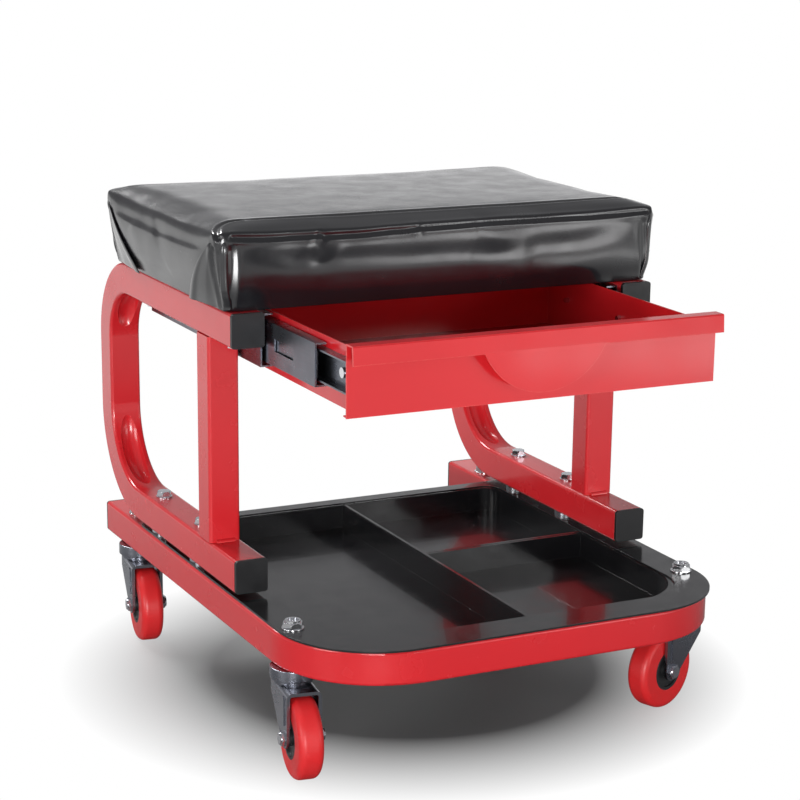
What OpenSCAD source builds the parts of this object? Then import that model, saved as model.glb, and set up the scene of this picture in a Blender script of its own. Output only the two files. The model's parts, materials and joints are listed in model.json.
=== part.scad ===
// Creeper seat: a low rolling stool with a padded seat, a drawer and a tool tray.
// The origin is on the floor, midway along and across the whole seat with its drawer part open.
// +Z is up, and the drawer opens towards -Y.

/* [Frame tube] */
// Outside width of the square tube
tube = 25; // [22:0.5:28]
// Wall of the square tube
tube_wall = 1.5; // [1:0.1:2.5]
// Outside corner radius of the square tube
tube_r = 2.4; // [1:0.1:3.5]
// Radius of the tight bends along the middle of the tube
bend_r = 53.5; // [45:0.5:60]
// Radius of the base frame's two corners, along the middle of the tube
base_bend_r = 68; // [58:0.5:80]
// Radius of the wide bend above each foot, along the middle of the tube
foot_bend_r = 69.5; // [66:0.5:78]

/* [Base frame] */
// Width across the outer faces of the two rails
base_w = 344; // [320:1:400]
// Distance from the front of the feet to the front of the bumper
bumper_reach = 149; // [130:1:200]
// Distance from the rails' rear ends to the rear casters
rear_caster_set = 42; // [34:1:46]
// Distance from the front of the bumper to the front casters
front_caster_set = 72; // [68:1:90]

/* [Side frames] */
// Height of a side frame from its foot to the top of its seat rail
side_h = 204.4; // [180:0.2:260]
// Distance that each rear leg stands out behind the rails' rear ends
leg_out = 8; // [4:0.5:12]
// Distance from the rails' rear ends to the front of the feet
foot_reach = 281; // [270:1:300]
// Distance that the seat rails end behind the feet
seat_rail_back = 4; // [0:0.5:12]
// How much narrower the square posts are than the tube
post_less = 1; // [0:0.5:5]
// Distance from the front of the seat rails to the front of the posts
post_set = 43; // [35:1:55]
// Distance from the rails' rear ends to the rear foot bolts
foot_bolt_back = 103; // [96:1:112]
// Distance between the two bolts of a foot
foot_bolt_gap = 83; // [60:1:90]
// Thickness of the spacer washers under the feet
spacer_t = 3.1; // [1:0.1:5]
// Depth of the dents inside the bends
dent_depth = 5.5; // [3:0.5:6.5]
// Thickness of the faces of the caps in front
cap_t = 3; // [2:0.5:5]
// Thickness of the faces of the caps behind
rear_cap_t = 2; // [1:0.5:4]

/* [Tool tray] */
// Thickness of the tray's rim
tray_rim_t = 1.5; // [1:0.25:3]
// Thickness of the tray's walls and floor
tray_wall = 2.2; // [1.6:0.1:3]
// Height of the tray's underside above the rails' underside
tray_up = 2.8; // [1:0.1:8]
// Distance from the rails' rear ends to the tray's rear edge
tray_rear_set = 75; // [70:1:90]
// Width of the narrow rim along the tray's rear edge
tray_rear_rim = 12; // [8:0.5:20]
// Distance of the long divider to the right of the middle
long_divider_x = 3.5; // [-30:0.5:30]
// Distance from the front of the bumper to the cross divider
cross_divider_set = 195; // [150:1:230]

/* [Casters] */
// Diameter of the wheels
wheel_d = 60; // [54:1:62]
// Width of the wheels
wheel_w = 18; // [14:0.5:22]
// Diameter of the black wheel cores
core_d = 31; // [26:0.5:36]
// Height from the floor to the underside of the rails
caster_h = 75; // [75:0.5:84]
// Distance from the swivel axis to the wheel axle
trail = 22.4; // [18:0.2:24]
// Thickness of the forks' steel
fork_t = 2.4; // [2:0.1:3]
// Diameter of the threaded stems
stem_d = 8; // [6:0.5:10]
// Diameter of the wheel axles
axle_d = 6; // [5:0.5:8]
// Heading of the front left caster, anticlockwise from +X
front_left_heading = 262; // [0:1:359]
// Heading of the front right caster
front_right_heading = 201; // [0:1:359]
// Heading of the rear left caster
rear_left_heading = 262; // [0:1:359]
// Heading of the rear right caster
rear_right_heading = 278; // [0:1:359]

/* [Cushion] */
// Distance that the cushion's foot overhangs each side of the frame
cushion_over = 2; // [-4:0.5:8]
// Depth of the cushion's foot from front to back
cushion_d = 233; // [210:1:244]
// Height of the cushion at its crown
cushion_h = 61; // [50:0.5:80]
// Distance of the cushion's front behind the front of the seat rails
cushion_set = 5.5; // [0:0.5:10]
// Distance that the cushion's top leans back over its foot
cushion_lean = 4; // [0:0.5:8]
// Thickness of the plywood seat board
board_t = 9; // [6:0.5:12]
// Thickness of the vinyl where it is folded under the board
hem_t = 1.2; // [0.8:0.1:2]

/* [Drawer] */
// Distance that the drawer stands open
drawer_out = 128; // [60:1:160]
// Gap between the drawer's front panel and each seat rail
panel_side_gap = 3; // [1:0.5:10]
// Height of the drawer's front panel
panel_h = 50.4; // [48:0.2:60]
// Length of the drawer box behind its panel
box_l = 220; // [205:1:222]
// Thickness of the drawer's sheet steel
sheet_t = 1; // [0.8:0.1:1.5]
// Distance that the folded top edge stands out in front
lip_out = 9; // [6:0.5:14]
// Width of the half-moon pull
pull_w = 94; // [70:1:120]
// Height of the half-moon pull below the folded edge
pull_h = 30; // [20:0.5:34]

/* [Drawer slides] */
// Length of each slide member
slide_l = 225; // [215:1:235]
// Height of the outer slide members
slide_h = 38.4; // [36:0.2:40]
// Width of a closed slide
slide_w = 12.7; // [12.5:0.1:14]
// Thickness of the slides' steel
slide_t = 1.2; // [1:0.1:1.4]
// Diameter of the slide balls
slide_ball_d = 2.6; // [2.4:0.1:2.8]
// Distance that the middle slide members stand out of the outer ones
middle_out = 88; // [40:1:110]

/* [Hidden] */

// Smoothness of round shapes
$fn = 48;
// Overrun of every cut
cut = 2;
// Clearance between a soft or loose piece and what holds it
gap = 0.3;
// Radial clearance of screws, plugs and turning fits
fit = 0.06;

// Heights, from the floor up
rail_z = caster_h + tube / 2;
rail_top = caster_h + tube;
rim_top = rail_top + tray_rim_t;
foot_z0 = rim_top + spacer_t;
foot_z = foot_z0 + tube / 2;
foot_top = foot_z0 + tube;
seat_rail_top = foot_z0 + side_h;
seat_rail_z = seat_rail_top - tube / 2;
seat_rail_z0 = seat_rail_top - tube;
board_z0 = seat_rail_top + hem_t;

// Places across the seat
rail_x = base_w / 2 - tube / 2;
rail_in = base_w / 2 - tube;
post_w = tube - post_less;
post_x = base_w / 2 - post_w / 2;

// Places along the seat
base_l = foot_reach + bumper_reach;
seat_rail_reach = foot_reach - seat_rail_back;
closed_gap = 1.8;
rim_overhang = 1;
skirt_flare = 1.6;
skirt_out = lip_out + skirt_flare;
panel_closed_set = seat_rail_reach + cap_t + closed_gap + sheet_t;
reach_front = panel_closed_set + drawer_out + skirt_out;
rear_y = (max(reach_front, base_l + rim_overhang) - leg_out) / 2;
front_y = rear_y - base_l;
seat_front_y = rear_y - seat_rail_reach;
foot_front_y = rear_y - foot_reach;
leg_y = rear_y + leg_out - tube / 2;
upper_bend_y = leg_y - bend_r;
upper_bend_z = seat_rail_z - bend_r;
foot_bend_y = leg_y - foot_bend_r;
foot_bend_z = foot_z + foot_bend_r;
post_y = seat_front_y + post_set + post_w / 2;
foot_bolt_ys = [rear_y - foot_bolt_back - foot_bolt_gap, rear_y - foot_bolt_back];
front_caster_y = front_y + front_caster_set;
rear_caster_y = rear_y - rear_caster_set;
tray_rear_y = rear_y - tray_rear_set;

// Fasteners
bolt_d = 6;
bolt_head_w = 10;
bolt_head_h = 4;
bolt_washer_d = 12.5;
bolt_washer_t = 1;
bolt_end = 2;
nut_h = 5;
lock_nut_h = 5.4;
lock_ring_h = 1.4;
jam_nut_h = 5;
stem_nut_w = stem_d * 1.65;
stem_washer_d = stem_d * 2;
stem_washer_t = 1;
thin_washer_t = 1;
stem_end = 1;
jam_end = 0.4;
small_screw_d = 4;
small_head_d = 7.4;
small_head_h = 1.3;
flush_head_h = 0.5;
screw_end = 3;

// Bend dents
dent_r = 8.5;
dent_half_span = 35;

module rounded_square(w, h, r) {
    square([w - 2 * r, h], center = true);
    square([w, h - 2 * r], center = true);
    for (x = [-1, 1], y = [-1, 1])
        translate([x * (w / 2 - r), y * (h / 2 - r)]) circle(r);
}

// A bar of a section along +Y
module along_y(l) { rotate([-90, 0, 0]) linear_extrude(l) children(); }

// A quarter bend about an axis along X, from a start angle measured from +Y towards +Z
module bend_about_x(r, start, span) {
    rotate([90, 0, 90]) rotate_extrude(angle = span, start = start) translate([r, 0]) children();
}

// A hexagon with its upper corners turned down
module hexagon(w, h) {
    intersection() {
        cylinder(h = h, d = w / cos(30), $fn = 6);
        cylinder(h = h, d1 = w * 1.4, d2 = w * 1.02);
    }
}

module drill_z(d, z0, z1) { translate([0, 0, z0 - cut]) cylinder(h = z1 - z0 + 2 * cut, d = d); }

module both_sides() {
    children();
    mirror([1, 0, 0]) children();
}

// Side frames

module side_path(w, r, over) {
    translate([0, foot_front_y - over, foot_z])
        along_y(foot_bend_y - foot_front_y + over) rounded_square(w, w, r);
    translate([0, foot_bend_y, foot_bend_z])
        bend_about_x(foot_bend_r, -90, 90) rounded_square(w, w, r);
    translate([0, leg_y, foot_bend_z])
        linear_extrude(upper_bend_z - foot_bend_z) rounded_square(w, w, r);
    translate([0, upper_bend_y, upper_bend_z])
        bend_about_x(bend_r, 0, 90) rounded_square(w, w, r);
    translate([0, seat_front_y - over, seat_rail_z])
        along_y(upper_bend_y - seat_front_y + over) rounded_square(w, w, r);
}

// A dent is cut by a ring whose centre is set off towards the middle of the bend, so that it is
// deepest there and runs out to nothing at both ends
module dent(path_r, middle, r) {
    inside_r = path_r - tube / 2;
    deep_r = inside_r + dent_depth;
    c = cos(dent_half_span);
    set_off = (deep_r * deep_r - inside_r * inside_r) / (2 * (deep_r - inside_r * c));
    translate([0, set_off * cos(middle), set_off * sin(middle)]) rotate([0, 90, 0])
        rotate_extrude() translate([deep_r - set_off - dent_r, 0]) circle(r);
}

module bend_dents(r) {
    translate([0, foot_bend_y, foot_bend_z]) dent(foot_bend_r, -45, r);
    translate([0, upper_bend_y, upper_bend_z]) dent(bend_r, 45, r);
}

module side_frame() {
    color("#c8161d") difference() {
        translate([rail_x, 0, 0]) side_path(tube, tube_r, 0);
        translate([rail_x, 0, 0]) bend_dents(dent_r);
        translate([rail_x, 0, 0]) difference() {
            side_path(tube - 2 * tube_wall, tube_r - tube_wall / 2, cut);
            bend_dents(dent_r + tube_wall);
        }
        for (y = foot_bolt_ys)
            translate([rail_x, y, 0]) drill_z(bolt_d + 2 * fit, foot_z0, foot_top);
        for (y = board_screw_ys)
            translate([rail_x, y, 0]) drill_z(board_screw_d + 2 * fit, seat_rail_z0, seat_rail_top);
        for (y = slide_screw_ys)
            translate([rail_in - cut, y, outer_screw_z]) rotate([0, 90, 0])
                cylinder(h = tube_wall + 2 * cut, d = small_screw_d + 2 * fit);
    }
}

module side_frame_left() { mirror([1, 0, 0]) side_frame(); }

module side_frame_right() { side_frame(); }

// Posts and their welds

module post() {
    color("#c8161d") translate([post_x, post_y, foot_top]) difference() {
        linear_extrude(seat_rail_z0 - foot_top) rounded_square(post_w, post_w, tube_r);
        translate([0, 0, -cut]) linear_extrude(seat_rail_z0 - foot_top + 2 * cut)
            rounded_square(post_w - 2 * tube_wall, post_w - 2 * tube_wall, tube_r - tube_wall / 2);
    }
}

module post_left() { mirror([1, 0, 0]) post(); }

module post_right() { post(); }

weld_r = 2.2;

module post_welds() {
    weld_l = post_w - 4 * tube_r;
    color("#b3141a") both_sides()
        for (z = [foot_top, seat_rail_z0], side = [-1, 1])
            translate([post_x - weld_l / 2, post_y + side * post_w / 2, z])
                intersection() {
                    rotate([0, 90, 0]) cylinder(h = weld_l, r = weld_r);
                    translate([0, side > 0 ? 0 : -weld_r, z == foot_top ? 0 : -weld_r])
                        cube([weld_l, weld_r, weld_r]);
                }
}

// Base frame

module base_path(w, r, over) {
    corner_y = front_y + tube / 2 + base_bend_r;
    corner_x = rail_x - base_bend_r;
    both_sides() {
        translate([rail_x, corner_y, rail_z])
            along_y(rear_y - corner_y + over) rounded_square(w, w, r);
        translate([corner_x, corner_y, rail_z])
            rotate_extrude(angle = 90, start = -90) translate([base_bend_r, 0])
                rounded_square(w, w, r);
    }
    translate([-corner_x, front_y + tube / 2, rail_z]) rotate([90, 0, 90])
        linear_extrude(2 * corner_x) rounded_square(w, w, r);
}

module base_frame() {
    color("#c8161d") difference() {
        base_path(tube, tube_r, 0);
        base_path(tube - 2 * tube_wall, tube_r - tube_wall / 2, cut);
        for (x = [-rail_x, rail_x]) {
            for (y = foot_bolt_ys)
                translate([x, y, 0]) drill_z(bolt_d + 2 * fit, caster_h, rail_top);
            for (y = [front_caster_y, rear_caster_y])
                translate([x, y, 0]) drill_z(stem_d + 2 * fit, caster_h, rail_top);
        }
    }
}

// Caps: a face and a hollow plug that enters the tube towards +Y

module tube_cap(face_t) {
    plug_l = 12;
    plug_wall = 1.8;
    plug_w = tube - 2 * tube_wall - 2 * fit;
    plug_r = tube_r - tube_wall / 2;
    color("#1c1c1e") {
        translate([0, -face_t, 0]) along_y(face_t) rounded_square(tube, tube, tube_r);
        difference() {
            along_y(plug_l) rounded_square(plug_w, plug_w, plug_r);
            along_y(plug_l + cut)
                rounded_square(plug_w - 2 * plug_wall, plug_w - 2 * plug_wall, plug_r / 2);
        }
    }
}

module seat_rail_caps() {
    both_sides() translate([rail_x, seat_front_y, seat_rail_z]) tube_cap(cap_t);
}

module foot_caps() {
    both_sides() translate([rail_x, foot_front_y, foot_z]) tube_cap(cap_t);
}

module rail_end_caps() {
    both_sides() translate([rail_x, rear_y, rail_z]) mirror([0, 1, 0]) tube_cap(rear_cap_t);
}

// Tool tray

module outline_between(half_w, y0, y1, front_r, rear_r) {
    for (x = [-1, 1]) {
        translate([x * (half_w - front_r), y0 + front_r]) circle(front_r);
        translate([x * (half_w - rear_r), y1 - rear_r]) circle(rear_r);
    }
    translate([-half_w, y0 + front_r]) square([2 * half_w, y1 - rear_r - y0 - front_r]);
    translate([-half_w + front_r, y0]) square([2 * (half_w - front_r), front_r]);
    translate([-half_w + rear_r, y1 - rear_r]) square([2 * (half_w - rear_r), rear_r]);
}

rim_side_set = 1.5;
rim_corner_more = 4;
rim_corner_r = base_bend_r + rim_corner_more;
rim_rear_corner_r = 6;
tub_play = 0.8;
tub_front_r = base_bend_r - tube / 2 - tub_play - tray_wall;
corner_ledge = 12;
opening_front_r = tub_front_r - corner_ledge;
tub_rear_r = 14;
tray_floor_z = caster_h + tray_up + tray_wall;
tray_depth = rim_top - tray_floor_z;
tub_out = rail_in - tub_play;
tub_in = tub_out - tray_wall;
tub_front_y = front_y + tube + tub_play + tray_wall;
tub_rear_y = tray_rear_y - tray_rear_rim;
cross_divider_y = front_y + cross_divider_set;
divider_drop = 1;

module tool_tray() {
    color("#141416") difference() {
        union() {
            translate([0, 0, rail_top]) linear_extrude(tray_rim_t)
                outline_between(base_w / 2 - rim_side_set, front_y - rim_overhang, tray_rear_y,
                    rim_corner_r, rim_rear_corner_r);
            translate([0, 0, tray_floor_z - tray_wall]) linear_extrude(tray_depth)
                outline_between(tub_out, tub_front_y - tray_wall, tub_rear_y + tray_wall,
                    tub_front_r + tray_wall, tub_rear_r + tray_wall);
        }
        translate([0, 0, tray_floor_z]) linear_extrude(tray_depth + cut) difference() {
            outline_between(tub_in, tub_front_y, tub_rear_y, tub_front_r, tub_rear_r);
            translate([long_divider_x - tray_wall / 2, tub_front_y - cut])
                square([tray_wall, tub_rear_y - tub_front_y + 2 * cut]);
            translate([long_divider_x, cross_divider_y - tray_wall / 2])
                square([tub_in - long_divider_x + cut, tray_wall]);
        }
        translate([0, 0, rim_top - divider_drop]) linear_extrude(divider_drop + cut)
            outline_between(tub_in, tub_front_y, tub_rear_y, opening_front_r, tub_rear_r);
        for (x = [-rail_x, rail_x]) {
            for (y = foot_bolt_ys)
                translate([x, y, 0]) drill_z(bolt_d + 2 * fit, rail_top, rim_top);
            translate([x, front_caster_y, 0]) drill_z(stem_d + 2 * fit, rail_top, rim_top);
        }
    }
}

// Foot bolts, from a washer and head on the foot down to a nut under the rail

module at_foot_bolts() {
    both_sides() for (y = foot_bolt_ys) translate([rail_x, y, 0]) children();
}

module foot_bolts() {
    head_z = foot_top + bolt_washer_t;
    tip_z = caster_h - nut_h - bolt_end;
    color("#c9ccd1") at_foot_bolts() {
        translate([0, 0, head_z]) hexagon(bolt_head_w, bolt_head_h);
        translate([0, 0, foot_top]) cylinder(h = bolt_washer_t, d = bolt_washer_d);
        translate([0, 0, tip_z]) cylinder(h = head_z - tip_z, d = bolt_d);
    }
}

module foot_nuts() {
    color("#c9ccd1") at_foot_bolts() translate([0, 0, caster_h]) difference() {
        mirror([0, 0, 1]) hexagon(bolt_head_w, nut_h);
        drill_z(bolt_d + 2 * fit, -nut_h, 0);
    }
}

module foot_spacers() {
    color("#b9bcc1") at_foot_bolts() translate([0, 0, rim_top]) difference() {
        cylinder(h = spacer_t, d = tube - 2 * tube_r);
        drill_z(bolt_d + 2 * fit, 0, spacer_t);
    }
}

// Seat: board, foam, cover, staples and screws

board_screw_d = 6;
board_screw_head_w = 10;
board_screw_head_h = 4;
tee_flange_d = 14;
tee_flange_t = 1.2;
tee_barrel_d = 8;
cover_wall = 5;
cushion_front_y = seat_front_y + cushion_set;
cushion_y = cushion_front_y + cushion_d / 2;
cushion_z0 = seat_rail_top;
cushion_w = base_w + 2 * cushion_over;
board_w = cushion_w - 2 * cover_wall;
board_d = cushion_d - 2 * cover_wall;
board_screw_ys = [seat_front_y + post_set / 2, cushion_y + cushion_d / 2 - 2 * tube];
board_r = 12;
hem_w = 26;
foam_z0 = board_z0 + board_t;

// Shares of the cushion's height and of its edge width, from its lowest ring to its crown
side_rise_shares = [0, 0.05, 0.2, 0.4, 0.6, 0.74, 0.83, 0.885, 0.925, 0.95];
side_in_shares = [0.1, 0, -0.12, -0.28, -0.42, -0.48, -0.46, -0.3, 0.1, 1];
crown_rise_shares = [0.95, 0.972, 0.988, 0.997];
crown_in_shares = [0, 0.22, 0.48, 0.76];
edge_w = 12;
corner_r = 10;
side_steps = 9;
corner_steps = 4;
draw_in = 2.6;
fold_depth = 2.2;
fold_w = 9;
fold_set = 12;

// One ring of the cushion: a rounded rectangle whose sides are drawn in and folded at the corners
function bell(u, w) = exp(-(u * u) / (w * w));
function folds(t, len) =
    bell(t * len - fold_set, fold_w / 2) + bell((1 - t) * len - fold_set, fold_w / 2);
function side_pull(t, len, lift) =
    draw_in * lift * (1 - pow(2 * t - 1, 2)) + fold_depth * lift * folds(t, len);
function side_points(a, b, inward, len, lift) = [
    for (i = [1:side_steps - 1])
        let (t = i / side_steps)
            a + (b - a) * t + inward * side_pull(t, len, lift)];
function corner_points(c, r, start) = [
    for (i = [0:corner_steps])
        let (a = start + 90 * i / corner_steps)
            [c[0] + r * cos(a), c[1] + r * sin(a)]];
function cushion_ring(hx, hy, r, lift) =
    let (cx = hx - r, cy = hy - r)
        concat(
            corner_points([cx, -cy], r, -90),
            side_points([hx, -cy], [hx, cy], [-1, 0], 2 * cy, lift),
            corner_points([cx, cy], r, 0),
            side_points([cx, hy], [-cx, hy], [0, -1], 2 * cx, lift),
            corner_points([-cx, cy], r, 90),
            side_points([-hx, cy], [-hx, -cy], [1, 0], 2 * cy, lift),
            corner_points([-cx, -cy], r, 180),
            side_points([-cx, -hy], [cx, -hy], [0, 1], 2 * cx, lift));
function ring_at(hx, hy, inset, z, back, lift) = [
    for (p = cushion_ring(hx - inset, hy - inset, max(corner_r - inset, corner_r / 3), lift))
        [p[0], p[1] + back, z]];
function crown_ring(hx, hy, share, z, back) = [
    for (p = cushion_ring(hx, hy, corner_r / 3, 0))
        [p[0] * (1 - share), p[1] * (1 - share) + back, z]];
function cushion_rings(hx, hy, h, lift) = concat(
    [for (i = [0:len(side_rise_shares) - 1])
        ring_at(hx, hy, edge_w * side_in_shares[i], h * side_rise_shares[i],
            cushion_lean * side_rise_shares[i],
            lift * sin(180 * min(1, side_rise_shares[i] + 0.08)))],
    [for (i = [1:len(crown_rise_shares) - 1])
        crown_ring(hx - edge_w, hy - edge_w, crown_in_shares[i], h * crown_rise_shares[i],
            cushion_lean)]);

// A closed skin over a stack of rings, flat below and drawn to one point above
module ring_stack(rings, top) {
    n = len(rings[0]);
    m = len(rings);
    points = concat([for (r = rings) each r], [[0, 0, 0], [0, cushion_lean, top]]);
    walls = [for (j = [0:m - 2], i = [0:n - 1])
        let (a = j * n + i, b = j * n + (i + 1) % n)
            each [[a, a + n, b], [b, a + n, b + n]]];
    floor_faces = [for (i = [0:n - 1]) [m * n, i, (i + 1) % n]];
    crown_faces = [for (i = [0:n - 1])
        [m * n + 1, (m - 1) * n + (i + 1) % n, (m - 1) * n + i]];
    polyhedron(points = points, faces = concat(walls, floor_faces, crown_faces), convexity = 4);
}

module cushion_form() {
    ring_stack(cushion_rings(cushion_w / 2, cushion_d / 2, cushion_h, 1), cushion_h);
}

// Shares of the foam's height that its lower and upper steps reach
foam_step_shares = [0.55, 0.86];

module foam_block(extra) {
    foam_h = cushion_z0 + cushion_h - cover_wall - foam_z0;
    for (k = [0, 1]) {
        less = edge_w * (k == 0 ? 0.6 : 3);
        translate([0, 0, foam_z0 - extra])
            linear_extrude(foam_h * foam_step_shares[k] + 2 * extra)
                rounded_square(board_w - less + 2 * extra, board_d - less + 2 * extra, board_r);
    }
}

module board_block(extra) {
    translate([0, 0, board_z0]) linear_extrude(board_t + extra)
        rounded_square(board_w + 2 * extra, board_d + 2 * extra, board_r);
}

module seat_cover() {
    color("#0f0f11") translate([0, cushion_y, 0]) difference() {
        translate([0, 0, cushion_z0]) cushion_form();
        board_block(gap);
        foam_block(gap);
        translate([0, 0, cushion_z0 - cut]) linear_extrude(hem_t + 2 * cut)
            rounded_square(board_w - 2 * hem_w, board_d - 2 * hem_w, board_r / 2);
        both_sides() for (y = board_screw_ys) translate([rail_x, y - cushion_y, 0])
            drill_z(board_screw_d + 2 * gap, cushion_z0, board_z0);
    }
}

module seat_foam() {
    color("#d9cfa8") translate([0, cushion_y, 0]) foam_block(0);
}

module seat_board() {
    color("#b98c5a") difference() {
        translate([0, cushion_y, 0]) board_block(0);
        both_sides() for (y = board_screw_ys) translate([rail_x, y, 0]) {
            drill_z(tee_barrel_d + 2 * fit, board_z0, foam_z0);
            translate([0, 0, foam_z0 - tee_flange_t])
                cylinder(h = tee_flange_t + cut, d = tee_flange_d + 2 * gap);
        }
    }
}

module board_tee_nuts() {
    color("#b9bcc1") both_sides() for (y = board_screw_ys) translate([rail_x, y, 0]) difference() {
        union() {
            translate([0, 0, foam_z0 - tee_flange_t]) cylinder(h = tee_flange_t, d = tee_flange_d);
            translate([0, 0, board_z0]) cylinder(h = board_t, d = tee_barrel_d);
        }
        drill_z(board_screw_d + 2 * fit, board_z0, foam_z0);
    }
}

module board_screws() {
    color("#c9ccd1") both_sides() for (y = board_screw_ys) translate([rail_x, y, 0]) {
        translate([0, 0, seat_rail_z0 - board_screw_head_h])
            hexagon(board_screw_head_w, board_screw_head_h);
        translate([0, 0, seat_rail_z0 - board_screw_head_h / 2])
            cylinder(h = foam_z0 - seat_rail_z0, d = board_screw_d);
    }
}

staple_l = 10;
staple_wire = 0.7;
staple_step = 36;

module cover_staples() {
    staple_x_count = floor((board_w / 2 - 2 * tube) / staple_step);
    inset = hem_w / 2;
    color("#c9ccd1") for (side = [-1, 1], i = [-staple_x_count:staple_x_count])
        translate([i * staple_step - staple_l / 2,
                cushion_y + side * (board_d / 2 - inset) - staple_wire / 2,
                cushion_z0 - staple_wire])
            cube([staple_l, staple_wire, staple_wire]);
}

// Casters

cup_d = 33;
cup_plate_t = 2.4;
cup_wall = 1.6;
ball_d = 4.6;
ball_ring_d = 23;
ball_count = 12;
crown_gap = 2.2;
crown_z0 = wheel_d + crown_gap;
crown_z1 = crown_z0 + fork_t;
cup_gap = 2;
cup_skirt = caster_h - cup_plate_t - crown_z1 - cup_gap;
race_d = 28;
race_z1 = caster_h - cup_plate_t - ball_d / 2 - gap / 2;
wheel_play = 1.2;
fork_gap = wheel_w + 2 * wheel_play;
fork_w = fork_gap + 2 * fork_t;
fork_r = fork_t + 1.6;
leg_end_r = 7.5;
leg_back = 12;
leg_back_drop = 11;
leg_back_r = 2;
fork_z0 = wheel_d / 2 - leg_end_r;
kingpin_head_d = 15;
kingpin_head_h = 2.6;
axle_head_w = 10;
axle_head_h = 3.6;
axle_nut_h = 2.6;
rib_w = 4;
rib_out = 0.9;

caster_places = [
    ["front_left", -rail_x, front_caster_y, front_left_heading],
    ["front_right", rail_x, front_caster_y, front_right_heading],
    ["rear_left", -rail_x, rear_caster_y, rear_left_heading],
    ["rear_right", rail_x, rear_caster_y, rear_right_heading]];

module at_casters() {
    for (c = caster_places) translate([c[1], c[2], 0]) rotate([0, 0, c[3]]) children();
}

module at_caster(name) {
    for (c = caster_places) if (c[0] == name)
        translate([c[1], c[2], 0]) rotate([0, 0, c[3]]) children();
}

// Places a piece on the wheel axis, with its own Z along the axle
module at_axle() {
    translate([trail, 0, wheel_d / 2]) rotate([90, 0, 0]) children();
}

// The front stems rise through the tray's rim, and the rear ones end low below the legs
module at_front_stems() { both_sides() translate([rail_x, front_caster_y, 0]) children(); }

module at_rear_stems() { both_sides() translate([rail_x, rear_caster_y, 0]) children(); }

module stem(top_z) {
    translate([0, 0, crown_z0 - kingpin_head_h]) cylinder(h = kingpin_head_h, d = kingpin_head_d);
    translate([0, 0, crown_z0]) cylinder(h = top_z - crown_z0, d = stem_d);
}

module caster_stems() {
    color("#b9bcc1") {
        at_front_stems() stem(rim_top + stem_washer_t + lock_nut_h - stem_end);
        at_rear_stems() stem(rail_top + thin_washer_t + jam_nut_h - jam_end);
    }
}

module stem_washer(z, t) {
    translate([0, 0, z]) difference() {
        cylinder(h = t, d = stem_washer_d);
        drill_z(stem_d + 2 * fit, 0, t);
    }
}

module stem_washers() {
    color("#c9ccd1") {
        at_front_stems() stem_washer(rim_top, stem_washer_t);
        at_rear_stems() stem_washer(rail_top, thin_washer_t);
    }
}

module lock_nut() {
    nut_body_h = lock_nut_h - lock_ring_h;
    difference() {
        union() {
            hexagon(stem_nut_w, nut_body_h);
            translate([0, 0, nut_body_h]) cylinder(h = lock_ring_h, d = stem_nut_w * 0.86);
        }
        drill_z(stem_d + 2 * fit, 0, lock_nut_h);
    }
}

module jam_nut() {
    difference() {
        hexagon(stem_nut_w, jam_nut_h);
        drill_z(stem_d + 2 * fit, 0, jam_nut_h);
    }
}

module stem_nuts() {
    color("#d3d6db") {
        at_front_stems() translate([0, 0, rim_top + stem_washer_t]) lock_nut();
        at_rear_stems() translate([0, 0, rail_top + thin_washer_t]) jam_nut();
    }
}

module swivel_cups() {
    color("#b4b8bf") at_casters() difference() {
        union() {
            translate([0, 0, caster_h - cup_plate_t]) cylinder(h = cup_plate_t, d = cup_d);
            translate([0, 0, caster_h - cup_plate_t - cup_skirt]) difference() {
                cylinder(h = cup_skirt, d = cup_d);
                translate([0, 0, -cut])
                    cylinder(h = cup_skirt + 2 * cut, d = cup_d - 2 * cup_wall);
            }
        }
        drill_z(stem_d + 2 * fit, caster_h - cup_plate_t, caster_h);
    }
}

module swivel_balls() {
    color("#d3d6db") at_casters() for (i = [0:ball_count - 1])
        rotate([0, 0, 360 * i / ball_count])
            translate([ball_ring_d / 2, 0, race_z1]) sphere(d = ball_d, $fn = 24);
}

// A fork seen from the side, with the wheel's axle to the right
module leg_outline() {
    hull() {
        translate([trail, wheel_d / 2]) circle(leg_end_r);
        translate([-leg_back + leg_back_r, crown_z1 - leg_back_r]) circle(leg_back_r);
        translate([-leg_back, crown_z1 - leg_back_drop])
            square([leg_back, leg_back_drop - leg_back_r]);
        translate([0, crown_z0]) square([trail + leg_end_r, fork_t]);
    }
}

// A fork's arch seen from the wheel, from its open foot up to its rounded shoulders
module arch(w, z0, z1, r) {
    translate([-w / 2, z0]) square([w, z1 - r - z0]);
    translate([-w / 2 + r, z0]) square([w - 2 * r, z1 - z0]);
    for (x = [-1, 1]) translate([x * (w / 2 - r), z1 - r]) circle(r);
}

module arch_bar(x0, w, z0, z1, r) {
    translate([x0, 0, 0]) rotate([90, 0, 90])
        linear_extrude(trail + leg_end_r - x0 + cut) arch(w, z0, z1, r);
}

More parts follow.
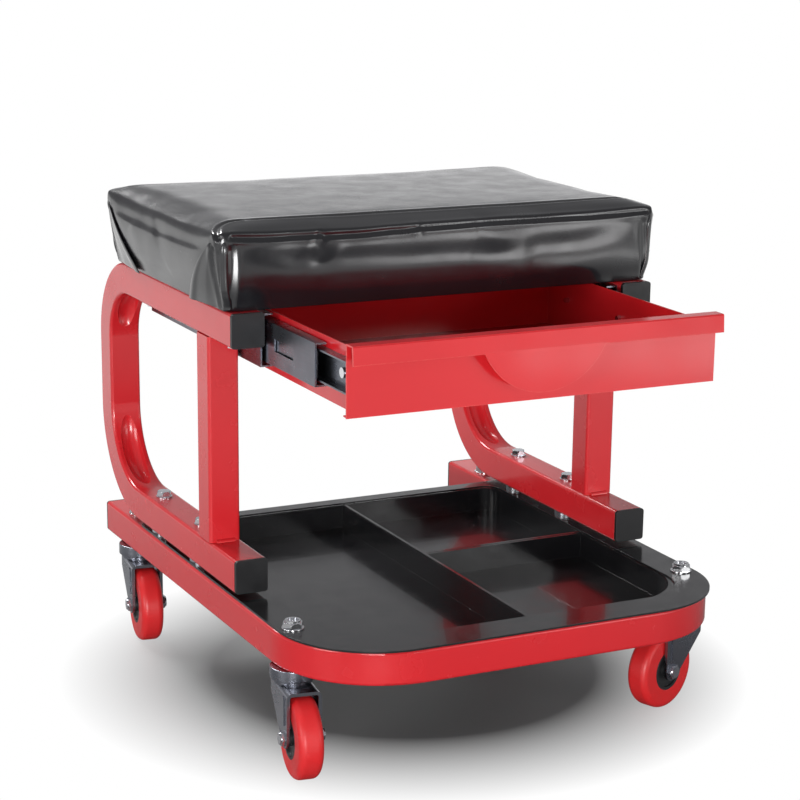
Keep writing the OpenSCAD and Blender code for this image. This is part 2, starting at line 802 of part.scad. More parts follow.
module fork(name) {
    rib_z0 = wheel_d / 2 + leg_end_r + rib_w / 2;
    color("#c2c6cc") at_caster(name) difference() {
        union() {
            intersection() {
                arch_bar(-leg_back - cut, fork_w, fork_z0 - cut, crown_z1, fork_r);
                rotate([90, 0, 0]) linear_extrude(fork_w + 2 * cut, center = true) leg_outline();
            }
            translate([0, 0, crown_z1 - fork_t / 2])
                cylinder(h = race_z1 - crown_z1 + fork_t / 2, d = race_d);
            for (side = [0, 1]) mirror([0, side, 0])
                translate([trail - rib_w / 2, fork_w / 2 - fork_t / 2, rib_z0])
                    cube([rib_w, fork_t / 2 + rib_out, crown_z1 - fork_r - rib_z0]);
        }
        arch_bar(-leg_back + fork_t, fork_gap, fork_z0 - 2 * cut, crown_z0, fork_r - fork_t);
        drill_z(stem_d + 2 * fit, crown_z0, race_z1);
        translate([0, 0, race_z1]) rotate_extrude()
            translate([ball_ring_d / 2, 0]) circle(ball_d / 2 + gap / 2);
        at_axle() cylinder(h = fork_w + 2 * cut, d = axle_d + 2 * fit, center = true);
    }
}

module axle(name) {
    color("#d3d6db") at_caster(name) at_axle() {
        cylinder(h = fork_w, d = axle_d, center = true);
        for (side = [0, 1]) mirror([0, 0, side]) translate([0, 0, fork_w / 2]) {
            hexagon(axle_head_w, axle_nut_h);
            translate([0, 0, axle_nut_h])
                cylinder(h = axle_head_h - axle_nut_h, d = axle_head_w * 0.84);
        }
    }
}

core_step = 2;

module wheel_core(name) {
    bore_r = axle_d / 2 + fit;
    hub_r = axle_d;
    hub_half = fork_gap / 2 - gap;
    color("#1c1c1e") at_caster(name) at_axle() rotate_extrude() {
        difference() {
            translate([bore_r, -wheel_w / 2]) square([core_d / 2 - bore_r, wheel_w]);
            for (side = [-1, 1])
                translate([hub_r, side * wheel_w / 2 - core_step])
                    square([core_d / 2 - core_step - hub_r, 2 * core_step]);
        }
        translate([bore_r, -hub_half]) square([hub_r - bore_r, 2 * hub_half]);
    }
}

tyre_shoulder = 5;

module tyre(name) {
    color("#e01b1f") at_caster(name) at_axle() rotate_extrude($fn = 96) {
        translate([core_d / 2, -wheel_w / 2])
            square([(wheel_d - core_d) / 2 - tyre_shoulder, wheel_w]);
        translate([core_d / 2, -wheel_w / 2 + tyre_shoulder])
            square([(wheel_d - core_d) / 2, wheel_w - 2 * tyre_shoulder]);
        for (side = [-1, 1])
            translate([wheel_d / 2 - tyre_shoulder, side * (wheel_w / 2 - tyre_shoulder)])
                circle(tyre_shoulder);
    }
}

// Drawer slides, drawn for the right side with x measured inwards from the seat rail

slide_top_gap = 2.8;
slide_z = seat_rail_top - slide_top_gap - slide_h / 2;
race_play = 0.2;
outer_front_set = 5;
outer_screw_z = seat_rail_z - tube_wall;
outer_y0 = seat_front_y + outer_front_set;
middle_y0 = outer_y0 - middle_out;
box_front_y = seat_front_y - cap_t - closed_gap - drawer_out;
inner_y0 = box_front_y + gap;
middle_h = slide_h - 2 * (slide_t + slide_ball_d + race_play);
inner_h = middle_h - 2 * (slide_t + slide_ball_d + race_play);
outer_lip = 9.4;
middle_in = 3;
middle_lip = 8.4;
cage_t = 0.5;
cage_play = 0.5;
inner_lip = slide_w - middle_in - slide_t - 2 * cage_t - cage_play;
outer_screw_set = 12;
inner_screw_set = 22;
slide_screw_ys = [outer_y0 + outer_screw_set, outer_y0 + slide_l / 2, outer_y0 + slide_l * 0.75];
shared_l = min(slide_l, box_l);
inner_screw_ys = [inner_y0 + inner_screw_set, inner_y0 + shared_l / 2, inner_y0 + shared_l * 0.85];

// A channel along +Y with its web on the right and its lips towards smaller x
module channel(h, lip, t, l) {
    rotate([-90, 0, 0]) linear_extrude(l) {
        translate([-t, -h / 2]) square([t, h]);
        for (side = [-1, 1]) translate([-lip, side > 0 ? h / 2 - t : -h / 2]) square([lip, t]);
    }
}

module slide_outer() {
    color("#b4b8bf") difference() {
        translate([rail_in, outer_y0, slide_z]) channel(slide_h, outer_lip, slide_t, slide_l);
        for (y = slide_screw_ys)
            translate([rail_in - slide_t - cut, y, outer_screw_z]) rotate([0, 90, 0])
                cylinder(h = slide_t + 2 * cut, d = small_screw_d + 2 * fit);
    }
}

window_l = 33;
window_h = 9;
window_set = 37;

module slide_middle() {
    color("#c9ccd1") difference() {
        translate([rail_in - middle_in, middle_y0, slide_z])
            channel(middle_h, middle_lip, slide_t, slide_l);
        translate([rail_in - middle_in - slide_t - cut, middle_y0 + window_set, slide_z - window_h / 2])
            cube([slide_t + 2 * cut, window_l, window_h]);
    }
}

module slide_inner() {
    color("#8f9399") difference() {
        translate([rail_in - slide_w, inner_y0, slide_z]) mirror([1, 0, 0])
            channel(inner_h, inner_lip, slide_t, slide_l);
        for (y = inner_screw_ys)
            translate([rail_in - slide_w - cut, y, slide_z]) rotate([0, 90, 0])
                cylinder(h = slide_t + 2 * cut, d = small_screw_d + 2 * fit);
    }
}

bumper_l = 6;
bumper_t = 2.2;
bumper_set = 2;

module slide_bumper() {
    bumper_h = inner_h - 2 * slide_t - 2 * race_play;
    bumper_x = rail_in - middle_in - slide_t - bumper_t;
    color("#1c1c1e") translate([bumper_x, middle_y0 + bumper_set, slide_z - bumper_h / 2])
        cube([bumper_t, bumper_l, bumper_h]);
}

ball_pitch = 12;

// A cage: a thin channel that carries two rows of balls between two slide members
module ball_cage(x, half_h, lip, y0, l, ball_x) {
    rows = floor((l - ball_pitch / 2) / ball_pitch);
    translate([x, y0, slide_z]) channel(2 * half_h + cage_t, lip, cage_t, l);
    for (side = [-1, 1], i = [0:rows])
        translate([ball_x, y0 + (l - rows * ball_pitch) / 2 + i * ball_pitch, slide_z + side * half_h])
            sphere(d = slide_ball_d, $fn = 24);
}

outer_cage_l = 60;
inner_cage_l = 110;
outer_cage_in = 0.7;
outer_cage_lip = 6.4;
inner_cage_lip = 5.4;
outer_cage_y0 = (outer_y0 + middle_y0 + slide_l - outer_cage_l) / 2;
inner_cage_y0 = (middle_y0 + inner_y0 + slide_l - inner_cage_l) / 2;

module ball_cage_outer() {
    half_h = slide_h / 2 - slide_t - race_play / 2 - slide_ball_d / 2;
    cage_x = rail_in - slide_t - outer_cage_in;
    color("#d3d6db") ball_cage(cage_x, half_h, outer_cage_lip, outer_cage_y0, outer_cage_l,
        cage_x - outer_cage_lip + slide_ball_d / 2);
}

module ball_cage_inner() {
    half_h = middle_h / 2 - slide_t - race_play / 2 - slide_ball_d / 2;
    cage_x = rail_in - middle_in - slide_t - cage_play;
    color("#d3d6db") ball_cage(cage_x, half_h, inner_cage_lip, inner_cage_y0, inner_cage_l,
        cage_x - inner_cage_lip + slide_ball_d / 2);
}

module slide_outer_screws() {
    color("#c9ccd1") both_sides() for (y = slide_screw_ys)
        translate([rail_in - slide_t, y, outer_screw_z]) rotate([0, 90, 0]) {
            translate([0, 0, -flush_head_h]) cylinder(h = flush_head_h, d = small_head_d);
            cylinder(h = slide_t + tube_wall + screw_end, d = small_screw_d);
        }
}

module slide_inner_screws() {
    color("#c9ccd1") both_sides() for (y = inner_screw_ys)
        translate([rail_in - slide_w + slide_t, y, slide_z]) rotate([0, -90, 0]) {
            translate([0, 0, -small_head_h]) cylinder(h = small_head_h, d = small_head_d);
            cylinder(h = slide_t + sheet_t + screw_end, d = small_screw_d);
        }
}

// Drawer

panel_up = 2.6;
panel_w = 2 * (rail_in - panel_side_gap);
panel_z0 = seat_rail_top + panel_up - panel_h;
panel_top = panel_z0 + panel_h;
box_w = 2 * (rail_in - slide_w);
box_z0 = panel_z0 + sheet_t;
box_drop = 3;
box_top = seat_rail_top - box_drop;
panel_hem = 6;
tab_l = 12;
tab_up = 2.5;
tab_x = box_w / 2 - 2 * sheet_t;
rivet_d = 4;
rivet_out = 1.2;
rivet_set = 5;
rivet_shank_d = 2.4;
rivet_ys = [box_front_y + tab_l / 2];
rivet_zs = [box_z0 + sheet_t + rivet_set, box_top - rivet_set];

module at_rivets() {
    for (y = rivet_ys, z = rivet_zs) translate([tab_x, y, z]) rotate([0, 90, 0]) children();
}

module rivet_holes() {
    at_rivets() translate([0, 0, -cut])
        cylinder(h = 2 * sheet_t + 2 * cut, d = rivet_shank_d + 2 * fit);
}

module drawer_box() {
    color("#c8161d") difference() {
        translate([-box_w / 2, box_front_y, box_z0]) cube([box_w, box_l, box_top - box_z0]);
        translate([-box_w / 2 + sheet_t, box_front_y - cut, box_z0 + sheet_t])
            cube([box_w - 2 * sheet_t, box_l - sheet_t + cut, box_top - box_z0]);
        both_sides() {
            for (y = inner_screw_ys)
                translate([box_w / 2 - sheet_t - cut, y, slide_z]) rotate([0, 90, 0])
                    cylinder(h = sheet_t + 2 * cut, d = small_screw_d + 2 * fit);
            rivet_holes();
        }
    }
}

// Shares of the lip's reach and of the skirt's drop that shape the folded top edge
skirt_drop = 13;
nose_share = 0.8;

module lip_outline() {
    t = sheet_t;
    polygon([
        [0, 0], [0, -t], [lip_out - t, -t], [skirt_out - t, -skirt_drop],
        [skirt_out, -skirt_drop], [lip_out + t * nose_share, -t], [lip_out, 0]]);
}

module drawer_front() {
    panel_y = box_front_y - sheet_t;
    color("#d01a20") {
        translate([-panel_w / 2, panel_y, panel_z0]) cube([panel_w, sheet_t, panel_h]);
        translate([-panel_w / 2, panel_y, panel_top]) rotate([90, 0, 90])
            linear_extrude(panel_w) mirror([1, 0]) lip_outline();
        translate([-panel_w / 2 + sheet_t, panel_y, panel_z0])
            cube([panel_w - 2 * sheet_t, sheet_t + panel_hem, sheet_t]);
        both_sides() difference() {
            translate([tab_x, panel_y, box_z0 + sheet_t + tab_up])
                cube([sheet_t, sheet_t + tab_l, box_top - box_z0 - sheet_t - tab_up]);
            rivet_holes();
        }
        translate([0, panel_y - skirt_out + sheet_t, panel_top - skirt_drop])
            rotate([90, 0, 0]) linear_extrude(sheet_t) pull_outline();
    }
}

module pull_outline() {
    r = (pow(pull_w / 2, 2) + pow(pull_h, 2)) / (2 * pull_h);
    intersection() {
        translate([0, r - pull_h]) circle(r, $fn = 96);
        translate([-pull_w / 2, -pull_h]) square([pull_w, pull_h + sheet_t]);
    }
}

module drawer_rivets() {
    color("#b4b8bf") both_sides() at_rivets() {
        translate([0, 0, -rivet_out]) cylinder(h = rivet_out, d = rivet_d);
        cylinder(h = 2 * sheet_t, d = rivet_shank_d);
    }
}

base_frame();
rail_end_caps();
tool_tray();
side_frame_left();
side_frame_right();
post_left();
post_right();
seat_rail_caps();
foot_caps();
foot_bolts();
foot_nuts();
foot_spacers();
post_welds();
seat_board();
seat_foam();
seat_cover();
cover_staples();
board_screws();
board_tee_nuts();
caster_stems();
stem_nuts();
stem_washers();
swivel_cups();
swivel_balls();
mirror([1, 0, 0]) slide_outer();  // slide_outer_left
slide_outer();  // slide_outer_right
slide_outer_screws();
mirror([1, 0, 0]) ball_cage_outer();  // ball_cage_outer_left
ball_cage_outer();  // ball_cage_outer_right
mirror([1, 0, 0]) slide_middle();  // slide_middle_left
slide_middle();  // slide_middle_right
mirror([1, 0, 0]) slide_bumper();  // slide_bumper_left
slide_bumper();  // slide_bumper_right
mirror([1, 0, 0]) ball_cage_inner();  // ball_cage_inner_left
ball_cage_inner();  // ball_cage_inner_right
mirror([1, 0, 0]) slide_inner();  // slide_inner_left
slide_inner();  // slide_inner_right
slide_inner_screws();
drawer_box();
drawer_front();
drawer_rivets();
fork("front_left");  // fork_front_left
axle("front_left");  // axle_front_left
wheel_core("front_left");  // wheel_core_front_left
tyre("front_left");  // tyre_front_left
fork("front_right");  // fork_front_right
axle("front_right");  // axle_front_right
wheel_core("front_right");  // wheel_core_front_right
tyre("front_right");  // tyre_front_right
fork("rear_left");  // fork_rear_left
axle("rear_left");  // axle_rear_left
wheel_core("rear_left");  // wheel_core_rear_left
tyre("rear_left");  // tyre_rear_left
fork("rear_right");  // fork_rear_right
axle("rear_right");  // axle_rear_right
wheel_core("rear_right");  // wheel_core_rear_right
tyre("rear_right");  // tyre_rear_right
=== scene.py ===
"""Dresses the creeper seat: camera, studio, finishes and the pieces its solids leave plain."""

from __future__ import annotations

import json
import logging
import math
from dataclasses import dataclass, field
from typing import Callable

import bmesh
import bpy
import numpy as np
from mathutils import Matrix, Vector


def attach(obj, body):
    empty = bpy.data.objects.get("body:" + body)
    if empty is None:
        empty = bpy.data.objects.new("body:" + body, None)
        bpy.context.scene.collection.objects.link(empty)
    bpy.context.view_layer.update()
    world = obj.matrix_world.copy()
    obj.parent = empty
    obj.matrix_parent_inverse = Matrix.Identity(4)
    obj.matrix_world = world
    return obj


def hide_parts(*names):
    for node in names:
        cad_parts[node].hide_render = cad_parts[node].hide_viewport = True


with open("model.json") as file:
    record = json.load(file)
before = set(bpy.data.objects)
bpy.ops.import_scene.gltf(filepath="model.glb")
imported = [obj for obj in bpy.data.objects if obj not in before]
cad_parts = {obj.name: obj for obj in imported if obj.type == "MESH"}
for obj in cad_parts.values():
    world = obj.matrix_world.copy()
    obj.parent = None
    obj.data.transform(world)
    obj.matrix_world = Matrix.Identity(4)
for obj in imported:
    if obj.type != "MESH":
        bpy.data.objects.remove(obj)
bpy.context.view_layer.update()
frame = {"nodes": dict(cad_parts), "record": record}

log = logging.getLogger("creeper_seat")
MM = 0.001
Colour = tuple[float, float, float]
Place = tuple[float, float, float]


# Hand tools for modelling

def select_none() -> None:
    """Leaves edit mode and deselects every object."""
    if bpy.context.object and bpy.context.object.mode != "OBJECT":
        bpy.ops.object.mode_set(mode="OBJECT")
    bpy.ops.object.select_all(action="DESELECT")


def take(piece: bpy.types.Object) -> bpy.types.Object:
    """Makes a piece the only selected and active object.

    Args:
        piece: The object to work on.

    Returns:
        The same object.
    """
    select_none()
    piece.select_set(True)
    bpy.context.view_layer.objects.active = piece
    return piece


def start_piece(name: str) -> bpy.types.Object:
    """Names the primitive that was just added.

    Args:
        name: The piece's name.

    Returns:
        The new object.
    """
    piece = bpy.context.object
    piece.name = name
    piece.data.name = name
    return piece


def set_in_place(piece: bpy.types.Object) -> bpy.types.Object:
    """Puts a piece's place, turn and scale into its mesh.

    Args:
        piece: The object to settle.

    Returns:
        The same object, at the origin.
    """
    take(piece)
    bpy.ops.object.transform_apply(location=True, rotation=True, scale=True)
    return piece


def pick(piece: bpy.types.Object, kind: str, test: Callable[..., bool]) -> int:
    """Selects vertices, edges or faces of a piece in edit mode by a test.

    Args:
        piece: The object in edit mode.
        kind: "VERT", "EDGE" or "FACE".
        test: Takes the bmesh element and says whether it is wanted.

    Returns:
        How many elements were selected.
    """
    bpy.ops.mesh.select_mode(type=kind)
    bpy.ops.mesh.select_all(action="DESELECT")
    mesh = bmesh.from_edit_mesh(piece.data)
    mesh.normal_update()
    pool = {"VERT": mesh.verts, "EDGE": mesh.edges, "FACE": mesh.faces}[kind]
    count = 0
    for element in pool:
        if test(element):
            element.select_set(True)
            count += 1
    mesh.select_flush_mode()
    bmesh.update_edit_mesh(piece.data)
    return count


def finish_modifiers(piece: bpy.types.Object) -> None:
    """Applies every modifier of a piece in order.

    Args:
        piece: The object whose modifiers are applied.
    """
    take(piece)
    for modifier in list(piece.modifiers):
        bpy.ops.object.modifier_apply(modifier=modifier.name)


def points_of(piece: bpy.types.Object, what: str = "co") -> np.ndarray:
    """Reads the places or the normals of a mesh's points.

    Args:
        piece: The mesh object.
        what: "co" for places in metres, "normal" for normals.

    Returns:
        An array of one row per point.
    """
    flat = np.empty(len(piece.data.vertices) * 3, np.float64)
    piece.data.vertices.foreach_get(what, flat)
    return flat.reshape(-1, 3)


def put_points(piece: bpy.types.Object, points: np.ndarray) -> None:
    """Writes a mesh's points.

    Args:
        piece: The mesh object.
        points: One row per point, in metres.
    """
    piece.data.vertices.foreach_set("co", points.reshape(-1).astype(np.float32))
    piece.data.update()


MERGE_REACH = 0.02 * MM
FLAT_ANGLE = math.radians(0.6)
SMOOTH_ANGLE = math.radians(38)
FLAT_WEIGHT = 100


def rounded_copy(node: str, name: str, width: float, segments: int = 2,
                 angle: float = 32.0) -> bpy.types.Object:
    """Copies a solid and turns its sharp edges into small round ones.

    Args:
        node: The solid's node name.
        name: The new piece's name.
        width: Width of the rounding, in metres.
        segments: Steps in each rounding.
        angle: Edges sharper than this many degrees are rounded.

    Returns:
        The new piece, which stands for the solid.
    """
    select_none()
    source = frame["nodes"][node]
    piece = bpy.data.objects.new(name, source.data.copy())
    bpy.context.scene.collection.objects.link(piece)
    piece.data.name = name
    take(piece)
    bpy.ops.object.mode_set(mode="EDIT")
    bpy.ops.mesh.select_all(action="SELECT")
    bpy.ops.mesh.remove_doubles(threshold=MERGE_REACH)
    bpy.ops.mesh.dissolve_limited(angle_limit=FLAT_ANGLE)
    bpy.ops.mesh.select_all(action="DESELECT")
    bpy.ops.object.mode_set(mode="OBJECT")
    bevel = piece.modifiers.new("edges", "BEVEL")
    bevel.width = width
    bevel.segments = segments
    bevel.limit_method = "ANGLE"
    bevel.angle_limit = math.radians(angle)
    bevel.miter_outer = "MITER_ARC"
    bevel.use_clamp_overlap = True
    finish_modifiers(piece)
    bpy.ops.object.shade_smooth_by_angle(angle=SMOOTH_ANGLE)
    flats = piece.modifiers.new("flats", "WEIGHTED_NORMAL")
    flats.weight = FLAT_WEIGHT
    flats.keep_sharp = True
    finish_modifiers(piece)
    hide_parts(node)
    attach(piece, BODY_OF_NODE[node])
    return piece


BODY_OF_NODE: dict[str, str] = {
    node: body for body, nodes in frame["record"]["behaviour"]["bodies"].items() for node in nodes}
SLOT_OF_NODE: dict[str, str] = {
    row["node"]: row["material_slot"] for row in frame["record"]["subparts"]}


# Finishes

class NodeBoard:
    """A material's node tree, laid out from left to right."""

    EDGE_SAMPLES = 6
    EDGE_RANGE = (0.82, 0.99)

    def __init__(self, name: str) -> None:
        """Starts an empty material with a principled shader.

        Args:
            name: The material's name.
        """
        self.material = bpy.data.materials.new(name)
        self.material.use_nodes = True
        self.tree = self.material.node_tree
        self.shader = self.tree.nodes["Principled BSDF"]
        self.coords = self.add("ShaderNodeTexCoord").outputs["Object"]

    def add(self, kind: str, **settings: object) -> bpy.types.Node:
        """Adds a node.

        Args:
            kind: The node's type name.
            settings: Properties of the node.

        Returns:
            The new node.
        """
        node = self.tree.nodes.new(kind)
        for key, value in settings.items():
            setattr(node, key, value)
        return node

    def link(self, source: bpy.types.NodeSocket, target: bpy.types.NodeSocket) -> None:
        """Joins two sockets.

        Args:
            source: The socket that gives.
            target: The socket that takes.
        """
        self.tree.links.new(source, target)

    def noise(self, scale: float, detail: float = 3.0, rough: float = 0.5,
              stretch: tuple[float, float, float] = (1.0, 1.0, 1.0)) -> bpy.types.NodeSocket:
        """Adds noise in the object's own metres.

        Args:
            scale: Cells per metre.
            detail: Octaves.
            rough: How much the fine octaves count.
            stretch: Factor along each axis.

        Returns:
            The noise's value, from 0 to 1.
        """
        mapping = self.add("ShaderNodeMapping")
        mapping.inputs["Scale"].default_value = stretch
        self.link(self.coords, mapping.inputs["Vector"])
        node = self.add("ShaderNodeTexNoise")
        node.inputs["Scale"].default_value = scale
        node.inputs["Detail"].default_value = detail
        node.inputs["Roughness"].default_value = rough
        self.link(mapping.outputs["Vector"], node.inputs["Vector"])
        return node.outputs["Fac"]

    def cells(self, scale: float, feature: str = "F1") -> bpy.types.NodeSocket:
        """Adds a cell pattern.

        Args:
            scale: Cells per metre.
            feature: Which distance it gives.

        Returns:
            The distance value.
        """
        node = self.add("ShaderNodeTexVoronoi", feature=feature)
        node.inputs["Scale"].default_value = scale
        self.link(self.coords, node.inputs["Vector"])
        return node.outputs["Distance"]

    def spread(self, value: bpy.types.NodeSocket, low: float, high: float,
               start: float = 0.3, end: float = 0.7) -> bpy.types.NodeSocket:
        """Maps a value's range to another.

        Args:
            value: The value to map.
            low: The result at start.
            high: The result at end.
            start: Low end of the input's range.
            end: High end of the input's range.

        Returns:
            The mapped value, clamped.
        """
        node = self.add("ShaderNodeMapRange")
        node.inputs["From Min"].default_value = start
        node.inputs["From Max"].default_value = end
        node.inputs["To Min"].default_value = low
        node.inputs["To Max"].default_value = high
        self.link(value, node.inputs["Value"])
        return node.outputs["Result"]

    def blend(self, factor: bpy.types.NodeSocket, first: "Colour | bpy.types.NodeSocket",
              second: "Colour") -> bpy.types.NodeSocket:
        """Blends two colours.

        Args:
            factor: 0 gives the first colour, 1 the second.
            first: A colour, or a socket that gives one.
            second: A colour.

        Returns:
            The blended colour.
        """
        node = self.add("ShaderNodeMix", data_type="RGBA")
        self.link(factor, node.inputs["Factor"])
        if isinstance(first, tuple):
            node.inputs["A"].default_value = (*first, 1.0)
        else:
            self.link(first, node.inputs["A"])
        node.inputs["B"].default_value = (*second, 1.0)
        return node.outputs["Result"]

    def add_values(self, first: bpy.types.NodeSocket, second: bpy.types.NodeSocket,
                   operation: str = "ADD") -> bpy.types.NodeSocket:
        """Joins two values by arithmetic.

        Args:
            first: A value.
            second: A value.
            operation: The kind of arithmetic.

        Returns:
            The result.
        """
        node = self.add("ShaderNodeMath", operation=operation)
        self.link(first, node.inputs[0])
        self.link(second, node.inputs[1])
        return node.outputs[0]

    def edge_mask(self, radius: float) -> bpy.types.NodeSocket:
        """Marks the outer and inner edges of a shape.

        Args:
            radius: How far the mark reaches from an edge, in metres.

        Returns:
            A value near 1 on edges and 0 on flats.
        """
        soft = self.add("ShaderNodeBevel", samples=self.EDGE_SAMPLES)
        soft.inputs["Radius"].default_value = radius
        hard = self.add("ShaderNodeNewGeometry")
        dot = self.add("ShaderNodeVectorMath", operation="DOT_PRODUCT")
        self.link(soft.outputs["Normal"], dot.inputs[0])
        self.link(hard.outputs["Normal"], dot.inputs[1])
        return self.spread(dot.outputs["Value"], 1.0, 0.0, *self.EDGE_RANGE)

    def bump(self, height: bpy.types.NodeSocket, distance: float, strength: float = 1.0,
             after: bpy.types.NodeSocket | None = None) -> bpy.types.NodeSocket:
        """Adds surface relief.

        Args:
            height: The relief's height value.
            distance: The height in metres at a value of 1.
            strength: Share of the relief that is used.
            after: An earlier relief that this one lies on.

        Returns:
            The new normal.
        """
        node = self.add("ShaderNodeBump")
        node.inputs["Strength"].default_value = strength
        node.inputs["Distance"].default_value = distance
        self.link(height, node.inputs["Height"])
        if after is not None:
            self.link(after, node.inputs["Normal"])
        return node.outputs["Normal"]

    def set(self, **values: object) -> None:
        """Sets constants on the shader's own sockets.

        Args:
            values: Socket names, with _ for each blank, and their constants.
        """
        for key, value in values.items():
            self.shader.inputs[key.replace("_", " ")].default_value = value

    def feed(self, **sources: bpy.types.NodeSocket) -> None:
        """Links sources to the shader's sockets.

        Args:
            sources: Socket names, with _ for each blank, and what feeds them.
        """
        for key, source in sources.items():
            self.link(source, self.shader.inputs[key.replace("_", " ")])


MADE: dict[str, bpy.types.Material] = {}


@dataclass(frozen=True)
class Finish:
    """A finish with a name, a base colour and a range of roughness."""

    name: str
    colour: Colour
    smooth: float
    rough: float

    def make(self) -> bpy.types.Material:
        """Builds the finish once and keeps it.

        Returns:
            The finish's material.
        """
        if self.name not in MADE:
            MADE[self.name] = self.build(NodeBoard(f"{self.name}_finish"))
        return MADE[self.name]

    def sheen(self, board: NodeBoard, cells: float, octaves: float = 4,
              fine: float = 0.5) -> bpy.types.NodeSocket:
        """Varies the roughness in soft patches.

        Args:
            board: The material.
            cells: Patches per metre.
            octaves: Octaves of the patches.
            fine: How much the fine octaves count.

        Returns:
            The roughness, from the finish's smooth to its rough value.
        """
        return board.spread(board.noise(cells, octaves, fine), self.smooth, self.rough)

    def worn_edges(self, board: NodeBoard, reach: float, cells: float, octaves: float,
                   most: float) -> bpy.types.NodeSocket:
        """Marks edges that are rubbed here and there.

        Args:
            board: The material.
            reach: How far the wear reaches from an edge, in metres.
            cells: Patches of wear per metre.
            octaves: Octaves of the patches.
            most: The strongest wear.

        Returns:
            The wear, from 0 to most.
        """
        patches = board.spread(board.noise(cells, octaves), 0.0, most)
        return board.add_values(board.edge_mask(reach), patches, "MULTIPLY")

    def build(self, board: NodeBoard) -> bpy.types.Material:
        """Lays out the finish's nodes.

        Args:
            board: The empty material.

        Returns:
            The finished material.
        """
        raise NotImplementedError


@dataclass(frozen=True)
class PowderCoat(Finish):
    """Glossy powder coat over steel: slight orange peel, thin and a little worn on its edges."""

    edge: Colour = (0.78, 0.12, 0.10)
    deep_share: float = 0.82
    drift_cells: float = 9
    drift_most: float = 0.5
    wear_reach: float = 1.2 * MM
    wear_cells: float = 240
    wear_most: float = 0.75
    sheen_cells: float = 38
    peel_cells: float = 420
    peel_height: float = 0.02 * MM
    grain_cells: float = 1900
    grain_height: float = 0.003 * MM

    def build(self, board: NodeBoard) -> bpy.types.Material:
        """Lays out the coat's nodes.

        Args:
            board: The empty material.

        Returns:
            The finished material.
        """
        drift = board.spread(board.noise(self.drift_cells, 2), 0.0, self.drift_most)
        deep = tuple(self.deep_share * c for c in self.colour)
        tone = board.blend(drift, self.colour, deep)
        wear = self.worn_edges(board, self.wear_reach, self.wear_cells, 4, self.wear_most)
        board.feed(Base_Color=board.blend(wear, tone, self.edge),
                   Roughness=self.sheen(board, self.sheen_cells))
        peel = board.bump(board.noise(self.peel_cells, 2), self.peel_height)
        board.feed(Normal=board.bump(board.noise(self.grain_cells, 2), self.grain_height,
                                     after=peel))
        board.set(IOR=1.42, Coat_Weight=0.35, Coat_Roughness=0.08, Coat_IOR=1.45)
        return board.material


@dataclass(frozen=True)
class Zinc(Finish):
    """Bright zinc plate on pressed steel, with rolling marks and faint cloudy patches."""

    grain: tuple[float, float, float] = (1.0, 0.06, 1.0)
    cloud: Colour = (0.5, 0.53, 0.6)
    dirt: Colour = (0.3, 0.31, 0.33)
    cloud_cells: float = 30
    cloud_most: float = 0.8
    wear_reach: float = 0.9 * MM
    wear_cells: float = 300
    wear_most: float = 0.5
    line_cells: float = 700
    line_height: float = 0.012 * MM

    def build(self, board: NodeBoard) -> bpy.types.Material:
        """Lays out the plate's nodes.

        Args:
            board: The empty material.

        Returns:
            The finished material.
        """
        patch = board.spread(board.noise(self.cloud_cells, 4), 0.0, self.cloud_most)
        tone = board.blend(patch, self.colour, self.cloud)
        wear = self.worn_edges(board, self.wear_reach, self.wear_cells, 3, self.wear_most)
        board.feed(Base_Color=board.blend(wear, tone, self.dirt))
        lines = board.noise(self.line_cells, 3, 0.6, self.grain)
        board.feed(Roughness=board.spread(board.add_values(lines, patch, "MULTIPLY"),
                                          self.smooth, self.rough, 0.0, 0.6))
        board.feed(Normal=board.bump(lines, self.line_height))
        board.set(Metallic=1.0)
        return board.material


@dataclass(frozen=True)
class Moulded(Finish):
    """Moulded or vacuum-formed plastic with a fine skin and scuffed edges."""

    relief: float = 0.03 * MM
    cell: float = 600.0
    coat: float = 0.0
    pale_add: float = 0.05
    pale_share: float = 1.4
    wear_reach: float = 1.0 * MM
    wear_cells: float = 500
    wear_most: float = 0.6
    sheen_cells: float = 60
    sag_cells: float = 26
    sag_height: float = 0.4 * MM
    sag_share: float = 0.15

    def build(self, board: NodeBoard) -> bpy.types.Material:
        """Lays out the plastic's nodes.

        Args:
            board: The empty material.

        Returns:
            The finished material.
        """
        wear = self.worn_edges(board, self.wear_reach, self.wear_cells, 4, self.wear_most)
        pale = tuple(min(1.0, self.pale_add + self.pale_share * c) for c in self.colour)
        board.feed(Base_Color=board.blend(wear, self.colour, pale),
                   Roughness=self.sheen(board, self.sheen_cells, 5))
        skin = board.bump(board.noise(self.cell, 3), self.relief)
        board.feed(Normal=board.bump(board.noise(self.sag_cells, 2), self.sag_height,
                                     self.sag_share, after=skin))
        board.set(IOR=1.5, Coat_Weight=self.coat, Coat_Roughness=0.04)
        return board.material


